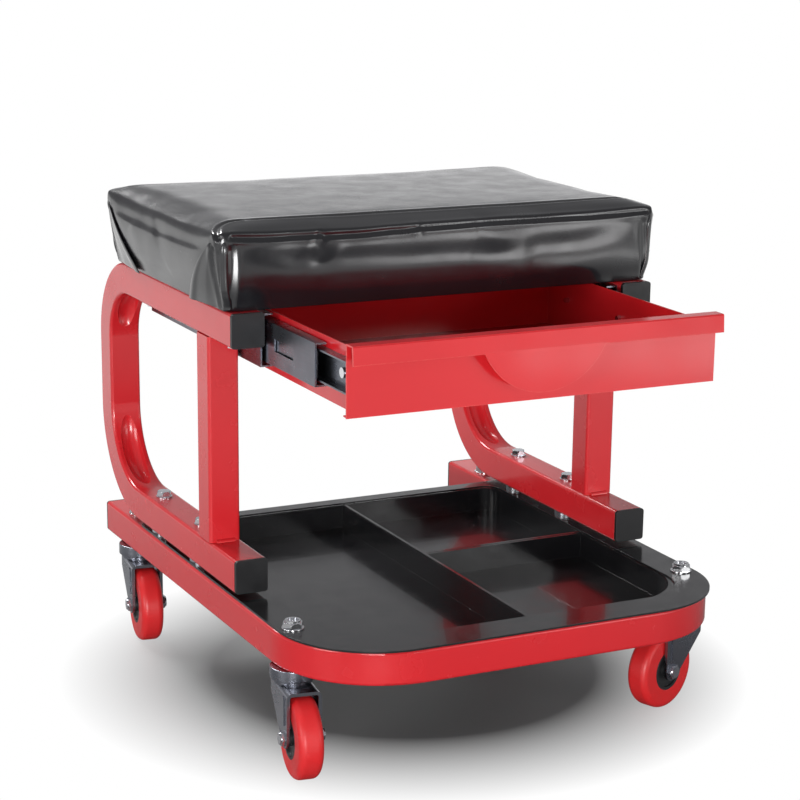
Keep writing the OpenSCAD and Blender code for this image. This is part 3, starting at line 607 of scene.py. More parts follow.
@dataclass(frozen=True)
class Vinyl(Finish):
    """Glossy upholstery vinyl with a fine grain and soft ripples."""

    worn: Colour = (0.014, 0.014, 0.016)
    wear_cells: float = 14
    wear_most: float = 0.7
    sheen_cells: float = 45
    grain_cells: float = 1500
    speck_cells: float = 2600
    speck_most: float = 0.4
    grain_height: float = 0.014 * MM
    ripple_cells: float = 60
    ripple_height: float = 0.5 * MM
    ripple_share: float = 0.06
    ripple_stretch: tuple[float, float, float] = (0.4, 1.0, 1.0)
    swell_cells: float = 15
    swell_height: float = 2.6 * MM
    swell_share: float = 0.09
    swell_stretch: tuple[float, float, float] = (0.5, 1.0, 0.8)

    def build(self, board: NodeBoard) -> bpy.types.Material:
        """Lays out the vinyl's nodes.

        Args:
            board: The empty material.

        Returns:
            The finished material.
        """
        wear = board.spread(board.noise(self.wear_cells, 4), 0.0, self.wear_most)
        board.feed(Base_Color=board.blend(wear, self.colour, self.worn),
                   Roughness=self.sheen(board, self.sheen_cells, 5, 0.6))
        specks = board.spread(board.noise(self.speck_cells, 2), 0.0, self.speck_most)
        grain = board.add_values(board.cells(self.grain_cells, "DISTANCE_TO_EDGE"), specks)
        fine = board.bump(grain, self.grain_height, 0.5)
        ripple = board.bump(board.noise(self.ripple_cells, 2, 0.4, self.ripple_stretch),
                            self.ripple_height, self.ripple_share, after=fine)
        swell = board.bump(board.noise(self.swell_cells, 2, 0.3, self.swell_stretch),
                           self.swell_height, self.swell_share, after=ripple)
        board.feed(Normal=swell)
        board.set(IOR=1.5, Coat_Weight=0.35, Coat_Roughness=0.14)
        return board.material


@dataclass(frozen=True)
class Urethane(Finish):
    """Smooth urethane tread with dust in its pores."""

    dust: Colour = (0.55, 0.03, 0.03)
    dust_cells: float = 120
    dust_most: float = 0.35
    sheen_cells: float = 80
    pore_cells: float = 700
    pore_height: float = 0.03 * MM
    soak: tuple[float, float, float] = (4.0 * MM, 0.8 * MM, 0.6 * MM)

    def build(self, board: NodeBoard) -> bpy.types.Material:
        """Lays out the tread's nodes.

        Args:
            board: The empty material.

        Returns:
            The finished material.
        """
        dust = board.spread(board.noise(self.dust_cells, 5), 0.0, self.dust_most)
        board.feed(Base_Color=board.blend(dust, self.colour, self.dust),
                   Roughness=self.sheen(board, self.sheen_cells))
        board.feed(Normal=board.bump(board.noise(self.pore_cells, 3), self.pore_height))
        board.set(IOR=1.48, Subsurface_Weight=0.08, Subsurface_Radius=self.soak,
                  Subsurface_Scale=0.6)
        return board.material


@dataclass(frozen=True)
class Plywood(Finish):
    """Bare plywood: long grain on its face and plies on its edges."""

    late_wood: Colour = (0.3, 0.19, 0.1)
    grain_cells: float = 60
    grain_stretch: tuple[float, float, float] = (0.08, 1.0, 9.0)
    grain_height: float = 0.2 * MM
    sheen_cells: float = 200

    def build(self, board: NodeBoard) -> bpy.types.Material:
        """Lays out the wood's nodes.

        Args:
            board: The empty material.

        Returns:
            The finished material.
        """
        grain = board.noise(self.grain_cells, 6, 0.6, self.grain_stretch)
        board.feed(Base_Color=board.blend(board.spread(grain, 0.0, 1.0), self.colour,
                                          self.late_wood),
                   Roughness=self.sheen(board, self.sheen_cells, 3))
        board.feed(Normal=board.bump(grain, self.grain_height))
        return board.material


@dataclass(frozen=True)
class Foam(Finish):
    """Open-cell foam with pores."""

    pore: Colour = (0.36, 0.3, 0.16)
    pore_cells: float = 700
    pore_height: float = 0.6 * MM
    sheen_cells: float = 90

    def build(self, board: NodeBoard) -> bpy.types.Material:
        """Lays out the foam's nodes.

        Args:
            board: The empty material.

        Returns:
            The finished material.
        """
        pores = board.cells(self.pore_cells)
        board.feed(Base_Color=board.blend(board.spread(pores, 1.0, 0.0, 0.0, 0.5), self.colour,
                                          self.pore),
                   Roughness=self.sheen(board, self.sheen_cells, 3))
        board.feed(Normal=board.bump(pores, self.pore_height))
        return board.material


RED_TUBE = PowderCoat("red_powder_coat", (0.62, 0.018, 0.024), 0.16, 0.3)
RED_SHEET = PowderCoat("red_sheet", (0.68, 0.018, 0.024), 0.14, 0.26)
CAP_PLASTIC = Moulded("cap_plastic", (0.004, 0.004, 0.005), 0.4, 0.54, 0.05 * MM, 1500)
TRAY_PLASTIC = Moulded("tray_plastic", (0.006, 0.006, 0.007), 0.13, 0.22, 0.01 * MM, 300, 0.3)
CORE_PLASTIC = Moulded("core_plastic", (0.016, 0.017, 0.018), 0.3, 0.46)
ZINC_SHEET = Zinc("zinc_sheet", (0.3, 0.31, 0.35), 0.16, 0.36, cloud=(0.23, 0.24, 0.28))
# Painted shade: a darker, rougher copy of the zinc for the drawer slides and ball cages. It stands
# in for the shadow they lie in under the drawer.
ZINC_SHADED_SLIDE = Zinc("zinc_slide_painted_shade", (0.17, 0.18, 0.21), 0.24, 0.42, cloud=(0.12, 0.13, 0.15))
ZINC_BOLT = Zinc("zinc_bolt", (0.78, 0.78, 0.8), 0.14, 0.3, (1.0, 1.0, 0.1))
CHROME = Zinc("chrome", (0.86, 0.86, 0.87), 0.05, 0.16, (1.0, 1.0, 0.2), (0.74, 0.75, 0.78))
VINYL = Vinyl("black_vinyl", (0.005, 0.005, 0.0065), 0.17, 0.28)
TREAD = Urethane("tyre_urethane", (0.66, 0.015, 0.018), 0.36, 0.48)
WOOD = Plywood("plywood", (0.55, 0.39, 0.22), 0.6, 0.8)
FOAM = Foam("foam", (0.72, 0.66, 0.42), 0.85, 0.95)

FINISH_OF_SLOT: dict[str, Finish] = {
    "red_powder_coat": RED_TUBE, "red_sheet": RED_SHEET, "black_plastic": CAP_PLASTIC,
    "tray_plastic": TRAY_PLASTIC, "zinc_steel": ZINC_SHEET, "zinc_fasteners": ZINC_BOLT,
    "chromed_nuts": CHROME, "ball_steel": CHROME, "black_vinyl": VINYL, "foam": FOAM,
    "plywood": WOOD, "tyre_urethane": TREAD, "core_plastic": CORE_PLASTIC}
# The slides and ball cages take the darker zinc, which is painted shade.
FINISH_OF_NODE: dict[str, Finish] = {
    f"slide_{member}_{side}": ZINC_SHADED_SLIDE
    for member in ("outer", "middle", "inner") for side in ("left", "right")}
FINISH_OF_NODE |= {f"ball_cage_{place}_{side}": ZINC_SHADED_SLIDE
                   for place in ("outer", "inner") for side in ("left", "right")}


def dress(piece: bpy.types.Object, finish: Finish) -> bpy.types.Object:
    """Gives a piece one finish all over.

    Args:
        piece: The object to dress.
        finish: Its finish.

    Returns:
        The same object.
    """
    material = finish.make()
    if not piece.material_slots:
        piece.data.materials.append(material)
    for slot in piece.material_slots:
        slot.material = material
    return piece


# Sub-assemblies

@dataclass
class RoundedParts:
    """Solids of the right shape, given the round edges of pressed, moulded or bent parts."""

    widths: dict[str, float] = field(default_factory=lambda: {
        "tool_tray": 0.9 * MM, "seat_rail_caps": 0.7 * MM, "foot_caps": 0.7 * MM,
        "rail_end_caps": 0.5 * MM, "drawer_front": 0.3 * MM, "drawer_box": 0.3 * MM,
        "stem_nuts": 0.45 * MM, "foot_bolts": 0.4 * MM, "foot_nuts": 0.4 * MM,
        "swivel_cups": 0.6 * MM, "stem_washers": 0.25 * MM,
        "slide_bumper_left": 0.4 * MM, "slide_bumper_right": 0.4 * MM,
        "fork_front_left": 0.6 * MM, "fork_front_right": 0.6 * MM,
        "fork_rear_left": 0.6 * MM, "fork_rear_right": 0.6 * MM})

    def build(self) -> list[bpy.types.Object]:
        """Rounds each part and dresses it.

        Returns:
            The new pieces.
        """
        made = []
        for node, width in self.widths.items():
            piece = rounded_copy(node, f"{node}_rounded", width)
            made.append(dress(piece, FINISH_OF_SLOT[SLOT_OF_NODE[node]]))
        return made


@dataclass(frozen=True)
class Fold:
    """A fold or crease in vinyl, along a line that bows over its middle.

    Sizes are in millimetres. A depth below zero raises a swell, and ridge is the share of the
    depth that stands up on both sides. Taper says how quickly the ends reach full depth.
    """

    POINTS = 121
    RIDGE_AT = 1.9
    END_DEPTH = 0.1

    start: Place
    end: Place
    width: float
    depth: float
    bow: Place = (0.0, 0.0, 0.0)
    ridge: float = 0.3
    taper: float = 6.0
    fine: bool = False

    def line(self, skin: bpy.types.Object) -> np.ndarray:
        """Lays the fold's line on a skin.

        Args:
            skin: The mesh object.

        Returns:
            One row per point along the line, in metres.
        """
        a, b, bow = (np.array(v) * MM for v in (self.start, self.end, self.bow))
        steps = np.linspace(0, 1, self.POINTS)[:, None]
        guesses = a + (b - a) * steps + bow * 4 * steps * (1 - steps)
        return np.array([skin.closest_point_on_mesh(Vector(g))[1] for g in guesses])

    def press(self, skin: bpy.types.Object) -> None:
        """Presses the fold into a skin.

        Args:
            skin: The mesh object, changed in place.
        """
        points, normals = points_of(skin), points_of(skin, "normal")
        line = self.line(skin)
        best = np.full(len(points), np.inf)
        along = np.zeros(len(points))
        for step, place in enumerate(line):
            reach = np.linalg.norm(points - place, axis=1)
            nearer = reach < best
            best[nearer] = reach[nearer]
            along[nearer] = step / (len(line) - 1)
        u = best / (self.width * MM)
        fade = np.clip(np.minimum(along, 1 - along) * self.taper + self.END_DEPTH, 0, 1)
        shape = -np.exp(-u * u) + self.ridge * np.exp(-((u - self.RIDGE_AT) ** 2))
        put_points(skin, points + normals * (self.depth * MM * shape * fade)[:, None])


CORNER_NAMES: dict[tuple[int, int], str] = {
    (-1, -1): "front_left", (1, -1): "front_right", (-1, 1): "rear_left", (1, 1): "rear_right"}


@dataclass(frozen=True)
class FlapShape:
    """The triangle of vinyl folded flat beside each corner, in millimetres.

    Reach and past hold a front and a rear value: the triangle's length at its foot, and how far
    its corner lies behind the cushion's.
    """

    rows: int = 40
    columns: int = 26
    reach: tuple[float, float] = (58.0, 66.0)
    past: tuple[float, float] = (-1.0, 3.0)
    foot: float = 0.6
    drop: float = 8.0
    tip: float = 3.0
    taper: float = 0.92
    inset: float = 4.0
    bow: float = 1.5
    bow_turn: float = 2.6
    ray_from: float = 8.0
    ray_length: float = 30.0
    tuck: float = 0.7
    stand: float = 1.5
    stand_rate: float = 2.2
    tip_rate: float = 8.0
    tip_stand: float = 0.15
    curl: float = 1.6
    ridge: float = 0.9
    ridge_at: float = 0.9
    ridge_w: float = 0.09

    def lift(self, across: float, t: float) -> float:
        """Says how far the flap stands off the cushion's side.

        Args:
            across: From 0 at the corner to 1 at the free edge.
            t: From 0 at the foot to 1 at the tip.

        Returns:
            The height over the side, in millimetres.
        """
        stand = min(1.0, across * self.stand_rate)
        stand *= min(1.0, (1 - t) * self.tip_rate + self.tip_stand)
        ridge = math.exp(-((across - self.ridge_at) / self.ridge_w) ** 2)
        free = (self.curl * across ** 2 + self.ridge * ridge) * (1 - t)
        return -self.tuck + self.stand * stand + free


@dataclass(frozen=True)
class PleatShape:
    """The narrow pleat down each corner, in millimetres."""

    rows: int = 30
    columns: int = 13
    foot: float = 0.8
    drop: float = 7.0
    ray_from: float = 1.2
    slim_from: float = 0.8
    slim: float = 0.75
    swell: float = 2.3
    tuck: float = 1.1
    waver: float = 0.25
    waver_turn: float = 9.0
    half_w: float = 3.4
    sway: float = 0.6
    sway_turn: float = 3.0


VINYL_CLOTH: dict[str, float] = {
    "quality": 5, "mass": 0.4, "tension_stiffness": 30, "compression_stiffness": 30,
    "shear_stiffness": 12, "bending_stiffness": 0.6}
FACING_UP = 0.9
TINY = 1e-9


@dataclass
class Cushion:
    """The padded seat: foam under one sheet of vinyl, pulled down and folded at its corners.

    Sizes are in millimetres. The block starts a little below its foot. Each ring gives a height
    over the foot, and how far the sides and the ends stand out there.
    """

    half_w: float = 174.0
    front_y: float = -60.0
    rear_y: float = 173.0
    foot_z: float = 309.2
    height: float = 57.6
    lean: float = 2.0
    corner: float = 7.0
    below_foot: float = 2.0
    above_foot: float = 4.0
    held_h: float = 3.0
    voxel: float = 4.0
    pressure: float = 3.0
    cap: float = 3.4
    steps: int = 20
    calm: int = 14
    fine_reach: float = 5.0
    ripple: float = 0.3
    ripple_h: float = 7.0
    ripple_turns: tuple[float, float] = (61.0, 47.0)
    sheet_t: float = 0.9
    flap_shape: FlapShape = FlapShape()
    pleat_shape: PleatShape = PleatShape()
    rings: tuple[tuple[float, float, float], ...] = (
        (8, 0.4, 1.0), (16, 1.8, 2.2), (24, 3.2, 2.4), (32, 4.6, 2.2), (40, 5.8, 2.2),
        (46, 6.8, 2.8), (51, 7.4, 3.6), (54.4, 7.0, 4.0), (56.0, 4.0, 1.0), (56.8, -4, -7),
        (57.2, -14, -19), (57.3, -50, -40), (57.4, -110, -72))

    def build(self) -> list[bpy.types.Object]:
        """Makes the cushion with a flap and a pleat at each corner.

        Returns:
            The cushion, then its flaps and its pleats.
        """
        skin = self.block()
        self.inflate(skin)
        self.crease(skin)
        take(skin)
        bpy.ops.object.shade_smooth()
        dress(skin, VINYL)
        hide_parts("seat_cover")
        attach(skin, "frame")
        corners = [(x, y) for x in (-1, 1) for y in (-1, 1)]
        flaps = [self.flap(skin, x, y) for x, y in corners]
        pleats = [self.pleat(skin, x, y) for x, y in corners]
        return [skin, *flaps, *pleats]

    def flap(self, skin: bpy.types.Object, side: int, end: int) -> bpy.types.Object:
        """Folds a triangle of vinyl flat against one side of the cushion, next to a corner.

        Args:
            skin: The finished cushion.
            side: -1 for the left side, 1 for the right.
            end: -1 for the front, 1 for the rear.

        Returns:
            The flap, with its free edge running down from the corner's top.
        """
        shape = self.flap_shape
        select_none()
        bpy.ops.mesh.primitive_grid_add(
            x_subdivisions=shape.columns - 1, y_subdivisions=shape.rows - 1, size=1)
        piece = start_piece(f"cushion_flap_{CORNER_NAMES[side, end]}")
        points = points_of(piece)
        at_rear = end > 0
        corner_y = (self.rear_y if at_rear else self.front_y) + shape.past[at_rear]
        low, high = self.foot_z + shape.foot, self.foot_z + self.height - shape.drop
        for i, (u, v, _) in enumerate(points):
            t, across = v + 0.5, u + 0.5
            z = low + (high - low) * t
            wide = shape.tip + (shape.reach[at_rear] - shape.tip) * (1 - t) ** shape.taper
            bow = shape.bow * math.sin(shape.bow_turn * t)
            y = corner_y + self.lean * t - end * (shape.inset + (wide + bow) * across)
            start = Vector((side * (self.half_w + shape.ray_from), y, z)) * MM
            hit, place, normal, _ = skin.ray_cast(start, Vector((-side, 0, 0)),
                                                  distance=shape.ray_length * MM)
            if not hit:
                _, place, normal, _ = skin.closest_point_on_mesh(start)
            points[i] = place + normal * (shape.lift(across, t) * MM)
        put_points(piece, points)
        return self.sheet(piece)

    def sheet(self, piece: bpy.types.Object) -> bpy.types.Object:
        """Gives a folded grid its thickness and finish.

        Args:
            piece: The grid, already shaped.

        Returns:
            The same piece.
        """
        take(piece)
        bpy.ops.object.mode_set(mode="EDIT")
        bpy.ops.mesh.select_all(action="SELECT")
        bpy.ops.mesh.normals_make_consistent(inside=False)
        bpy.ops.object.mode_set(mode="OBJECT")
        middle = (0, (self.front_y + self.rear_y) / 2, self.foot_z + self.height / 2)
        centre = Vector(middle) * MM
        face = piece.data.polygons[len(piece.data.polygons) // 2]
        if face.normal.dot(face.center - centre) < 0:
            piece.data.flip_normals()
        shell = piece.modifiers.new("sheet", "SOLIDIFY")
        shell.thickness = self.sheet_t * MM
        shell.offset = -1
        refine = piece.modifiers.new("refine", "SUBSURF")
        refine.levels = refine.render_levels = 1
        finish_modifiers(piece)
        bpy.ops.object.shade_smooth()
        dress(piece, VINYL)
        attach(piece, "frame")
        return piece

    def block(self) -> bpy.types.Object:
        """Draws the cushion's block up from its foot, ring by ring.

        Returns:
            The block, flared and leaning back, its top drawn in over the front and rear edges.
        """
        select_none()
        middle = (self.front_y + self.rear_y) / 2
        half_l = (self.rear_y - self.front_y) / 2
        bpy.ops.mesh.primitive_cube_add(
            size=1,
            location=(0, middle * MM, (self.foot_z + (self.above_foot - self.below_foot) / 2) * MM),
            scale=(2 * self.half_w * MM, 2 * half_l * MM,
                   (self.above_foot + self.below_foot) * MM))
        skin = set_in_place(start_piece("seat_cushion"))
        bpy.ops.object.mode_set(mode="EDIT")
        pick(skin, "EDGE",
             lambda e: abs(e.verts[0].co.z - e.verts[1].co.z) > self.above_foot * MM)
        bpy.ops.mesh.bevel(offset=self.corner * MM, segments=4, profile=0.5, affect="EDGES")
        pick(skin, "FACE", lambda f: f.normal.z > FACING_UP)
        wide, long, rise = self.half_w, half_l, self.above_foot
        for up, side, end in self.rings:
            back = self.lean * (up - rise) / self.height
            bpy.ops.mesh.extrude_region_move(
                TRANSFORM_OT_translate={"value": (0, back * MM, (up - rise) * MM)})
            centre = (0, (middle + self.lean * up / self.height) * MM, (self.foot_z + up) * MM)
            bpy.ops.transform.resize(value=((self.half_w + side) / wide, (half_l + end) / long, 1),
                                     center_override=centre)
            wide, long, rise = self.half_w + side, half_l + end, up
        bpy.ops.object.mode_set(mode="OBJECT")
        remesh = skin.modifiers.new("voxels", "REMESH")
        remesh.mode = "VOXEL"
        remesh.voxel_size = self.voxel * MM
        finish_modifiers(skin)
        return skin

    def inflate(self, skin: bpy.types.Object) -> None:
        """Swells the block as a stuffed cover, with its foot held on the board.

        Args:
            skin: The block, changed in place.
        """
        before = points_of(skin)
        held = skin.vertex_groups.new(name="held")
        low = (self.foot_z + self.held_h) * MM
        held.add([i for i, p in enumerate(before) if p[2] < low], 1.0, "REPLACE")
        cloth = skin.modifiers.new("stuffing", "CLOTH")
        cloth.settings.vertex_group_mass = "held"
        cloth.settings.use_pressure = True
        cloth.settings.uniform_pressure_force = self.pressure
        cloth.settings.effector_weights.gravity = 0
        for key, value in VINYL_CLOTH.items():
            setattr(cloth.settings, key, value)
        cloth.point_cache.frame_start = 1
        cloth.point_cache.frame_end = self.steps
        for step in range(1, self.steps + 1):
            bpy.context.scene.frame_set(step)
        finish_modifiers(skin)
        bpy.context.scene.frame_set(1)
        moved = points_of(skin) - before
        far = np.linalg.norm(moved, axis=1, keepdims=True)
        moved *= np.minimum(1, self.cap * MM / np.maximum(far, TINY))
        put_points(skin, before + self.evened(skin, moved))
        skin.vertex_groups.clear()
        refine = skin.modifiers.new("refine", "SUBSURF")
        refine.levels = refine.render_levels = 1
        finish_modifiers(skin)

    def evened(self, skin: bpy.types.Object, moved: np.ndarray) -> np.ndarray:
        """Evens out how far each point moves, from neighbour to neighbour.

        Args:
            skin: The mesh object.
            moved: One row per point.

        Returns:
            The evened moves.
        """
        edges = np.empty(len(skin.data.edges) * 2, np.int64)
        skin.data.edges.foreach_get("vertices", edges)
        first, second = edges[0::2], edges[1::2]
        count = np.bincount(edges, minlength=len(moved))[:, None]
        for _ in range(self.calm):
            total = np.zeros_like(moved)
            np.add.at(total, first, moved[second])
            np.add.at(total, second, moved[first])
            moved = 0.5 * moved + 0.5 * total / count
        return moved

    def folds(self) -> list[Fold]:
        """Lists the creases of the vinyl, as seen on the seat.

        Returns:
            The folds, in millimetres.
        """
        top = self.foot_z + self.height
        front, rear = self.front_y, self.rear_y
        left, right = -self.half_w - 5, self.half_w + 5
        on_top, on_front, on_rear = top + 3, front - 6, rear + 6
        top_seam, shoulder, near_front = front + 23, top - 6, front - 4
        seam, bulge = {"width": 1.8, "fine": True}, {"depth": -0.5, "ridge": 0.3}
        folds = [
            Fold((-150, top_seam, on_top), (168, top_seam, on_top), depth=0.9, taper=40, **seam),
            Fold((-177, front, shoulder), (-149, top_seam, on_top), depth=1.0, bow=(-5, 7, 0),
                 taper=40, **seam),
            Fold((167, top_seam, on_top), (178, front + 2, shoulder), depth=1.0, bow=(5, 5, 0),
                 taper=40, **seam),
            Fold((-170, on_front, 363), (-96, on_front, 363), depth=1.2, bow=(0, 0, -0.8),
                 ridge=0.4, taper=30, **seam),
            Fold((-100, on_front, 361), (-20, on_front, 363.4), depth=1.3, bow=(0, 0, -1.2),
                 ridge=0.4, taper=20, **seam),
            Fold((-24, on_front, 363.4), (174, on_front, 363.6), depth=1.1, bow=(0, 0, 1.0),
                 ridge=0.4, taper=30, **seam),
            Fold((-106, near_front, 361), (-97, near_front, 342), width=7, depth=0.6),
            Fold((22, near_front, 361), (72, near_front, 336), width=11, depth=0.6,
                 bow=(-4, 0, 0)),
            Fold((-130, near_front, 319), (120, near_front, 317), width=6, depth=-0.5,
                 bow=(0, 0, -1.5), ridge=0.5),
            Fold((left, 60, 352), (left, 76, 314), width=16, bow=(0, 6, 0), **bulge),
            Fold((left, 110, 350), (left, 100, 316), width=14, bow=(0, -4, 0), **bulge),
            Fold((right, 50, 352), (right, 70, 314), width=16, bow=(0, -6, 0), **bulge),
            Fold((-172, rear - 14, on_top), (172, rear - 14, on_top), depth=0.6, ridge=0.35,
                 taper=40, **seam),
            Fold((-172, on_rear, 361), (172, on_rear, 361), width=2.2, depth=1.0,
                 bow=(0, 0, -0.6), ridge=0.4, taper=30),
            Fold((-140, on_rear, 320), (110, on_rear, 318), width=5, depth=-0.6,
                 bow=(0, 0, -2), ridge=0.6),
            Fold((-60, on_rear, 352), (-30, on_rear, 330), width=6, depth=0.8, bow=(-4, 0, 0))]
        pleat = {"width": 2.2, "depth": 1.2, "taper": 30}
        for side in (-1, 1):
            edge = side * (self.half_w + 5)
            for end, y in ((-1, front), (1, rear)):
                folds.append(Fold((edge, y - end * 7, 356), (edge, y - end * 5.5, 310),
                                  bow=(0, -end * 1.5, 0), **pleat))
                folds.append(Fold((edge - side * 10.5, y + end * 4, 355),
                                  (edge - side * 7.5, y + end, 310),
                                  bow=(-side * 1.5, 0, 0), **pleat))
        return folds

    def crease(self, skin: bpy.types.Object) -> None:
        """Presses the folds into the skin and lets its foot ripple.

        Args:
            skin: The swollen cushion, changed in place.
        """
        folds = self.folds()
        lines = np.concatenate([fold.line(skin) for fold in folds if fold.fine])
        mesh = skin.data
        centres = np.empty(len(mesh.polygons) * 3)
        mesh.polygons.foreach_get("center", centres)
        centres = centres.reshape(-1, 3)
        near = np.zeros(len(centres), bool)
        for place in lines:
            near |= np.linalg.norm(centres - place, axis=1) < self.fine_reach * MM
        select_none()
        mesh.polygons.foreach_set("select", near)
        take(skin)
        bpy.ops.object.mode_set(mode="EDIT")
        bpy.ops.mesh.select_mode(type="FACE")
        bpy.ops.mesh.subdivide(number_cuts=1, smoothness=0.6)
        bpy.ops.object.mode_set(mode="OBJECT")
        for fold in folds:
            fold.press(skin)
        points = points_of(skin)
        low = self.foot_z * MM
        reach = self.ripple_h * MM
        share = np.clip((low + reach - points[:, 2]) / reach, 0, 1)
        waves = np.sin(points[:, :2] @ np.array(self.ripple_turns))
        points[:, 2] -= self.ripple * MM * share * (1 + waves)
        points[:, 2] = np.maximum(points[:, 2], low)
        put_points(skin, points)

    def pleat(self, skin: bpy.types.Object, side: int, end: int) -> bpy.types.Object:
        """Folds a narrow pleat down one corner of the cushion.

        Args:
            skin: The finished cushion.
            side: -1 for the left side, 1 for the right.
            end: -1 for the front, 1 for the rear.

        Returns:
            The pleat.
        """
        shape = self.pleat_shape
        select_none()
        bpy.ops.mesh.primitive_grid_add(
            x_subdivisions=shape.columns - 1, y_subdivisions=shape.rows - 1, size=1)
        piece = start_piece(f"cushion_pleat_{CORNER_NAMES[side, end]}")
        outward = Vector((side, end, 0)).normalized()
        across = Vector((-end * side, 1, 0)).normalized()
        middle = Vector((0, (self.front_y + self.rear_y) / 2 * MM, 0))
        reach = Vector((side * self.half_w, end * (self.rear_y - self.front_y) / 2, 0)) * MM
        points = points_of(piece)
        low, high = self.foot_z + shape.foot, self.foot_z + self.height - shape.drop
        for row in np.unique(np.round(points[:, 1], 5)):
            t = row + 0.5
            z = (low + (high - low) * t) * MM
            start = middle + reach * shape.ray_from + Vector((0, 0, z))
            hit, place, _, _ = skin.ray_cast(start, -reach.normalized())
            if not hit:
                place = middle + reach + Vector((0, 0, z))
            past = max(0.0, (t - shape.slim_from) / (1 - shape.slim_from))
            slim = 1 - shape.slim * past ** 2
            waver = shape.waver * math.sin(shape.waver_turn * t) - shape.tuck
            sway = shape.sway * math.sin(shape.sway_turn * t)
            for i in np.nonzero(np.abs(points[:, 1] - row) < 0.1 / shape.rows)[0]:
                u = points[i, 0] * 2
                swell = shape.swell * math.sqrt(max(0.0, 1 - u * u)) * slim
                out = outward * ((swell + waver) * MM)
                aside = across * ((shape.half_w * u * slim + sway) * MM)
                points[i] = place + out + aside
        put_points(piece, points)
        return self.sheet(piece)


# Camera and studio

@dataclass(frozen=True)
class View:
    """The photograph's camera, fitted to the seat's corners."""

    place: Place = (-0.73753, -1.48513, 0.61267)
    yaw: float = 0.469697
    pitch: float = -0.268180
    roll: float = 0.015526
    lens: float = 99.867
    sensor: float = 36.0
    shift: tuple[float, float] = (-0.0320, 0.0944)
    sees_to: float = 60.0

    def build(self) -> bpy.types.Object:
        """Makes the camera.

        Returns:
            The scene's camera.
        """
        ahead = Vector((math.sin(self.yaw) * math.cos(self.pitch),
                        math.cos(self.yaw) * math.cos(self.pitch), math.sin(self.pitch)))
        level = Vector((math.cos(self.yaw), -math.sin(self.yaw), 0))
        up = level.cross(ahead)
        right = math.cos(self.roll) * level + math.sin(self.roll) * up
        top = -math.sin(self.roll) * level + math.cos(self.roll) * up
        data = bpy.data.cameras.new("photo_view")
        data.sensor_width = self.sensor
        data.lens = self.lens
        data.shift_x, data.shift_y = self.shift
        data.clip_end = self.sees_to
        camera = bpy.data.objects.new("photo_view", data)
        bpy.context.scene.collection.objects.link(camera)
        turn = Matrix((right, top, -ahead)).transposed().to_4x4()
        camera.matrix_world = Matrix.Translation(self.place) @ turn
        bpy.context.scene.camera = camera
        return camera


@dataclass(frozen=True)
class SoftBox:
    """One soft lamp: where it hangs, what it faces, its size and its power."""

    name: str
    place: Place
    aim: Place
    size: tuple[float, float]
    power: float

    def build(self) -> bpy.types.Object:
        """Hangs the lamp.

        Returns:
            The lamp.
        """
        data = bpy.data.lights.new(self.name, "AREA")
        data.shape = "RECTANGLE"
        data.size, data.size_y = self.size
        data.energy = self.power
        lamp = bpy.data.objects.new(self.name, data)
        bpy.context.scene.collection.objects.link(lamp)
        lamp.location = self.place
        line = Vector(self.aim) - Vector(self.place)
        lamp.rotation_euler = line.to_track_quat("-Z", "Y").to_euler()
        return lamp


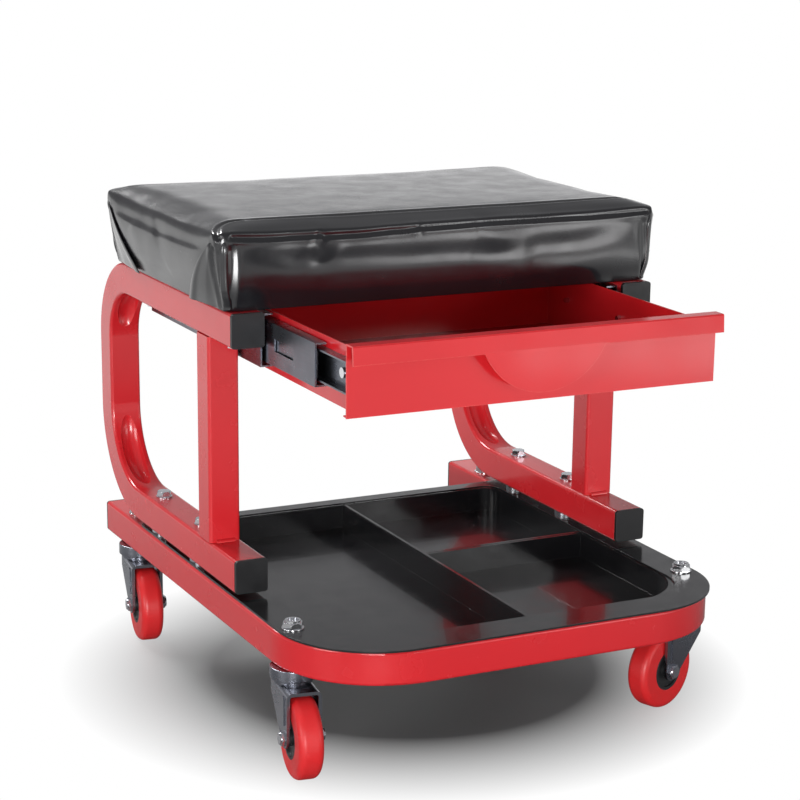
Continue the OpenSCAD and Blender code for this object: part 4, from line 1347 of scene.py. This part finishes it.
@dataclass
class Studio:
    """A pale floor under soft light, with a white background.

    Lengths are in metres. The floor is grey in a disk round its middle. This is a painted shadow
    under the seat, and the lamps also cast real shadow on it.
    The floor turns white between two distances from its middle, once for the camera and once for
    what the glossy pieces mirror.
    """

    floor_w: float = 40.0
    # Painted shadow: the floor's grey tones near the seat, darker than the white beyond.
    painted_shadow_pale: Colour = (0.24, 0.245, 0.245)
    painted_shadow_dark: Colour = (0.21, 0.215, 0.215)
    floor_rough: float = 0.55
    # Radii over which the painted shadow disk fades to white, first for the camera, then for
    # reflections.
    painted_shadow_seen: tuple[float, float] = (0.15, 0.27)
    painted_shadow_mirrored: tuple[float, float] = (0.4, 1.1)
    horizon: Colour = (0.3, 0.3, 0.31)
    overhead: Colour = (0.34, 0.34, 0.35)
    overhead_from: float = 0.8
    lamps: tuple[SoftBox, ...] = (
        SoftBox("overhead", (-0.5, 1.9, 2.0), (0.0, 0.0, 0.1), (1.2, 0.8), 60.0),
        SoftBox("front_right", (1.46, -2.3, 0.62), (0.0, -0.1, 0.25), (0.8, 0.62), 8.0),
        SoftBox("front_left", (-1.15, -2.5, 0.3), (0.0, 0.0, 0.2), (1.0, 0.5), 45.0),
        SoftBox("front_low", (0.84, -1.12, 0.08), (0.1, -0.2, 0.25), (0.62, 0.15), 0.7),
        SoftBox("left", (-2.2, -0.7, 0.42), (0.0, 0.0, 0.25), (1.0, 0.6), 17.0),
        SoftBox("back", (1.25, 2.6, 0.58), (0.0, 0.0, 0.36), (1.6, 0.5), 1.9))

    def build(self) -> None:
        """Lays the floor, hangs the lamps and lights the room."""
        select_none()
        bpy.ops.mesh.primitive_plane_add(size=self.floor_w)
        floor = start_piece("floor")
        floor.data.materials.append(self.floor_material())
        for lamp in self.lamps:
            lamp.build()
        self.room()
        bpy.context.scene.view_settings.view_transform = "Standard"

    def floor_material(self) -> bpy.types.Material:
        """Makes a pale floor that runs out to white away from the seat.

        Returns:
            The floor's material.
        """
        board = NodeBoard("floor_painted_shadow")
        # Painted shadow: the floor near the seat is a dark grey standing in for the shadow under
        # it, and the mottle varies that grey at random.
        mottle = board.spread(board.noise(3, 3), 0.0, 1.0)
        board.feed(Base_Color=board.blend(mottle, self.painted_shadow_pale, self.painted_shadow_dark))
        board.set(Roughness=self.floor_rough)
        glow = board.add("ShaderNodeEmission")
        length = board.add("ShaderNodeVectorMath", operation="LENGTH")
        board.link(board.coords, length.inputs[0])
        path = board.add("ShaderNodeLightPath")
        away = length.outputs["Value"]
        # Painted shadow: camera rays see the grey floor only inside the first radii, and white
        # emission beyond, which leaves a dark disk under the seat. Glossy rays see a wider disk of
        # the same kind.
        seen = board.add_values(board.spread(away, 0.0, 1.0, *self.painted_shadow_seen),
                                path.outputs["Is Camera Ray"], "MULTIPLY")
        mirrored = board.add_values(board.spread(away, 0.0, 1.0, *self.painted_shadow_mirrored),
                                    path.outputs["Is Glossy Ray"], "MULTIPLY")
        mix = board.add("ShaderNodeMixShader")
        board.link(board.add_values(seen, mirrored, "MAXIMUM"), mix.inputs["Fac"])
        board.link(board.shader.outputs["BSDF"], mix.inputs[1])
        board.link(glow.outputs["Emission"], mix.inputs[2])
        output = board.tree.nodes["Material Output"]
        board.link(mix.outputs["Shader"], output.inputs["Surface"])
        return board.material

    def room(self) -> None:
        """Lights the room: brighter above, greyer at the horizon, and white where it is seen."""
        world = bpy.data.worlds.new("room")
        bpy.context.scene.world = world
        world.use_nodes = True
        tree = world.node_tree
        coords = tree.nodes.new("ShaderNodeTexCoord")
        split = tree.nodes.new("ShaderNodeSeparateXYZ")
        ramp = tree.nodes.new("ShaderNodeValToRGB")
        path = tree.nodes.new("ShaderNodeLightPath")
        mix = tree.nodes.new("ShaderNodeMix")
        mix.data_type = "RGBA"
        back = tree.nodes["Background"]
        tree.links.new(coords.outputs["Generated"], split.inputs[0])
        tree.links.new(split.outputs["Z"], ramp.inputs["Fac"])
        stops = ramp.color_ramp.elements
        stops[0].position, stops[0].color = 0.0, (*self.horizon, 1)
        stops[1].position, stops[1].color = self.overhead_from, (*self.overhead, 1)
        tree.links.new(path.outputs["Is Camera Ray"], mix.inputs["Factor"])
        tree.links.new(ramp.outputs["Color"], mix.inputs["A"])
        mix.inputs["B"].default_value = (1, 1, 1, 1)
        tree.links.new(mix.outputs["Result"], back.inputs["Color"])
        back.inputs["Strength"].default_value = 1.0


def dress_solids() -> int:
    """Gives every solid its own finish, or else that of its material slot.

    Returns:
        How many solids were dressed.
    """
    count = 0
    for name, node in frame["nodes"].items():
        dress(node, FINISH_OF_NODE.get(name, FINISH_OF_SLOT[SLOT_OF_NODE[name]]))
        count += 1
    return count


def main() -> None:
    """Builds the sub-assemblies in order and reports each piece."""
    logging.basicConfig(level=logging.INFO, format="%(name)s: %(message)s")
    View().build()
    Studio().build()
    log.info("%d solids dressed", dress_solids())
    for assembly in (RoundedParts(), Cushion()):
        for piece in assembly.build():
            log.info("%s: %d faces", piece.name, len(piece.data.polygons))


if __name__ == "__main__":
    main()
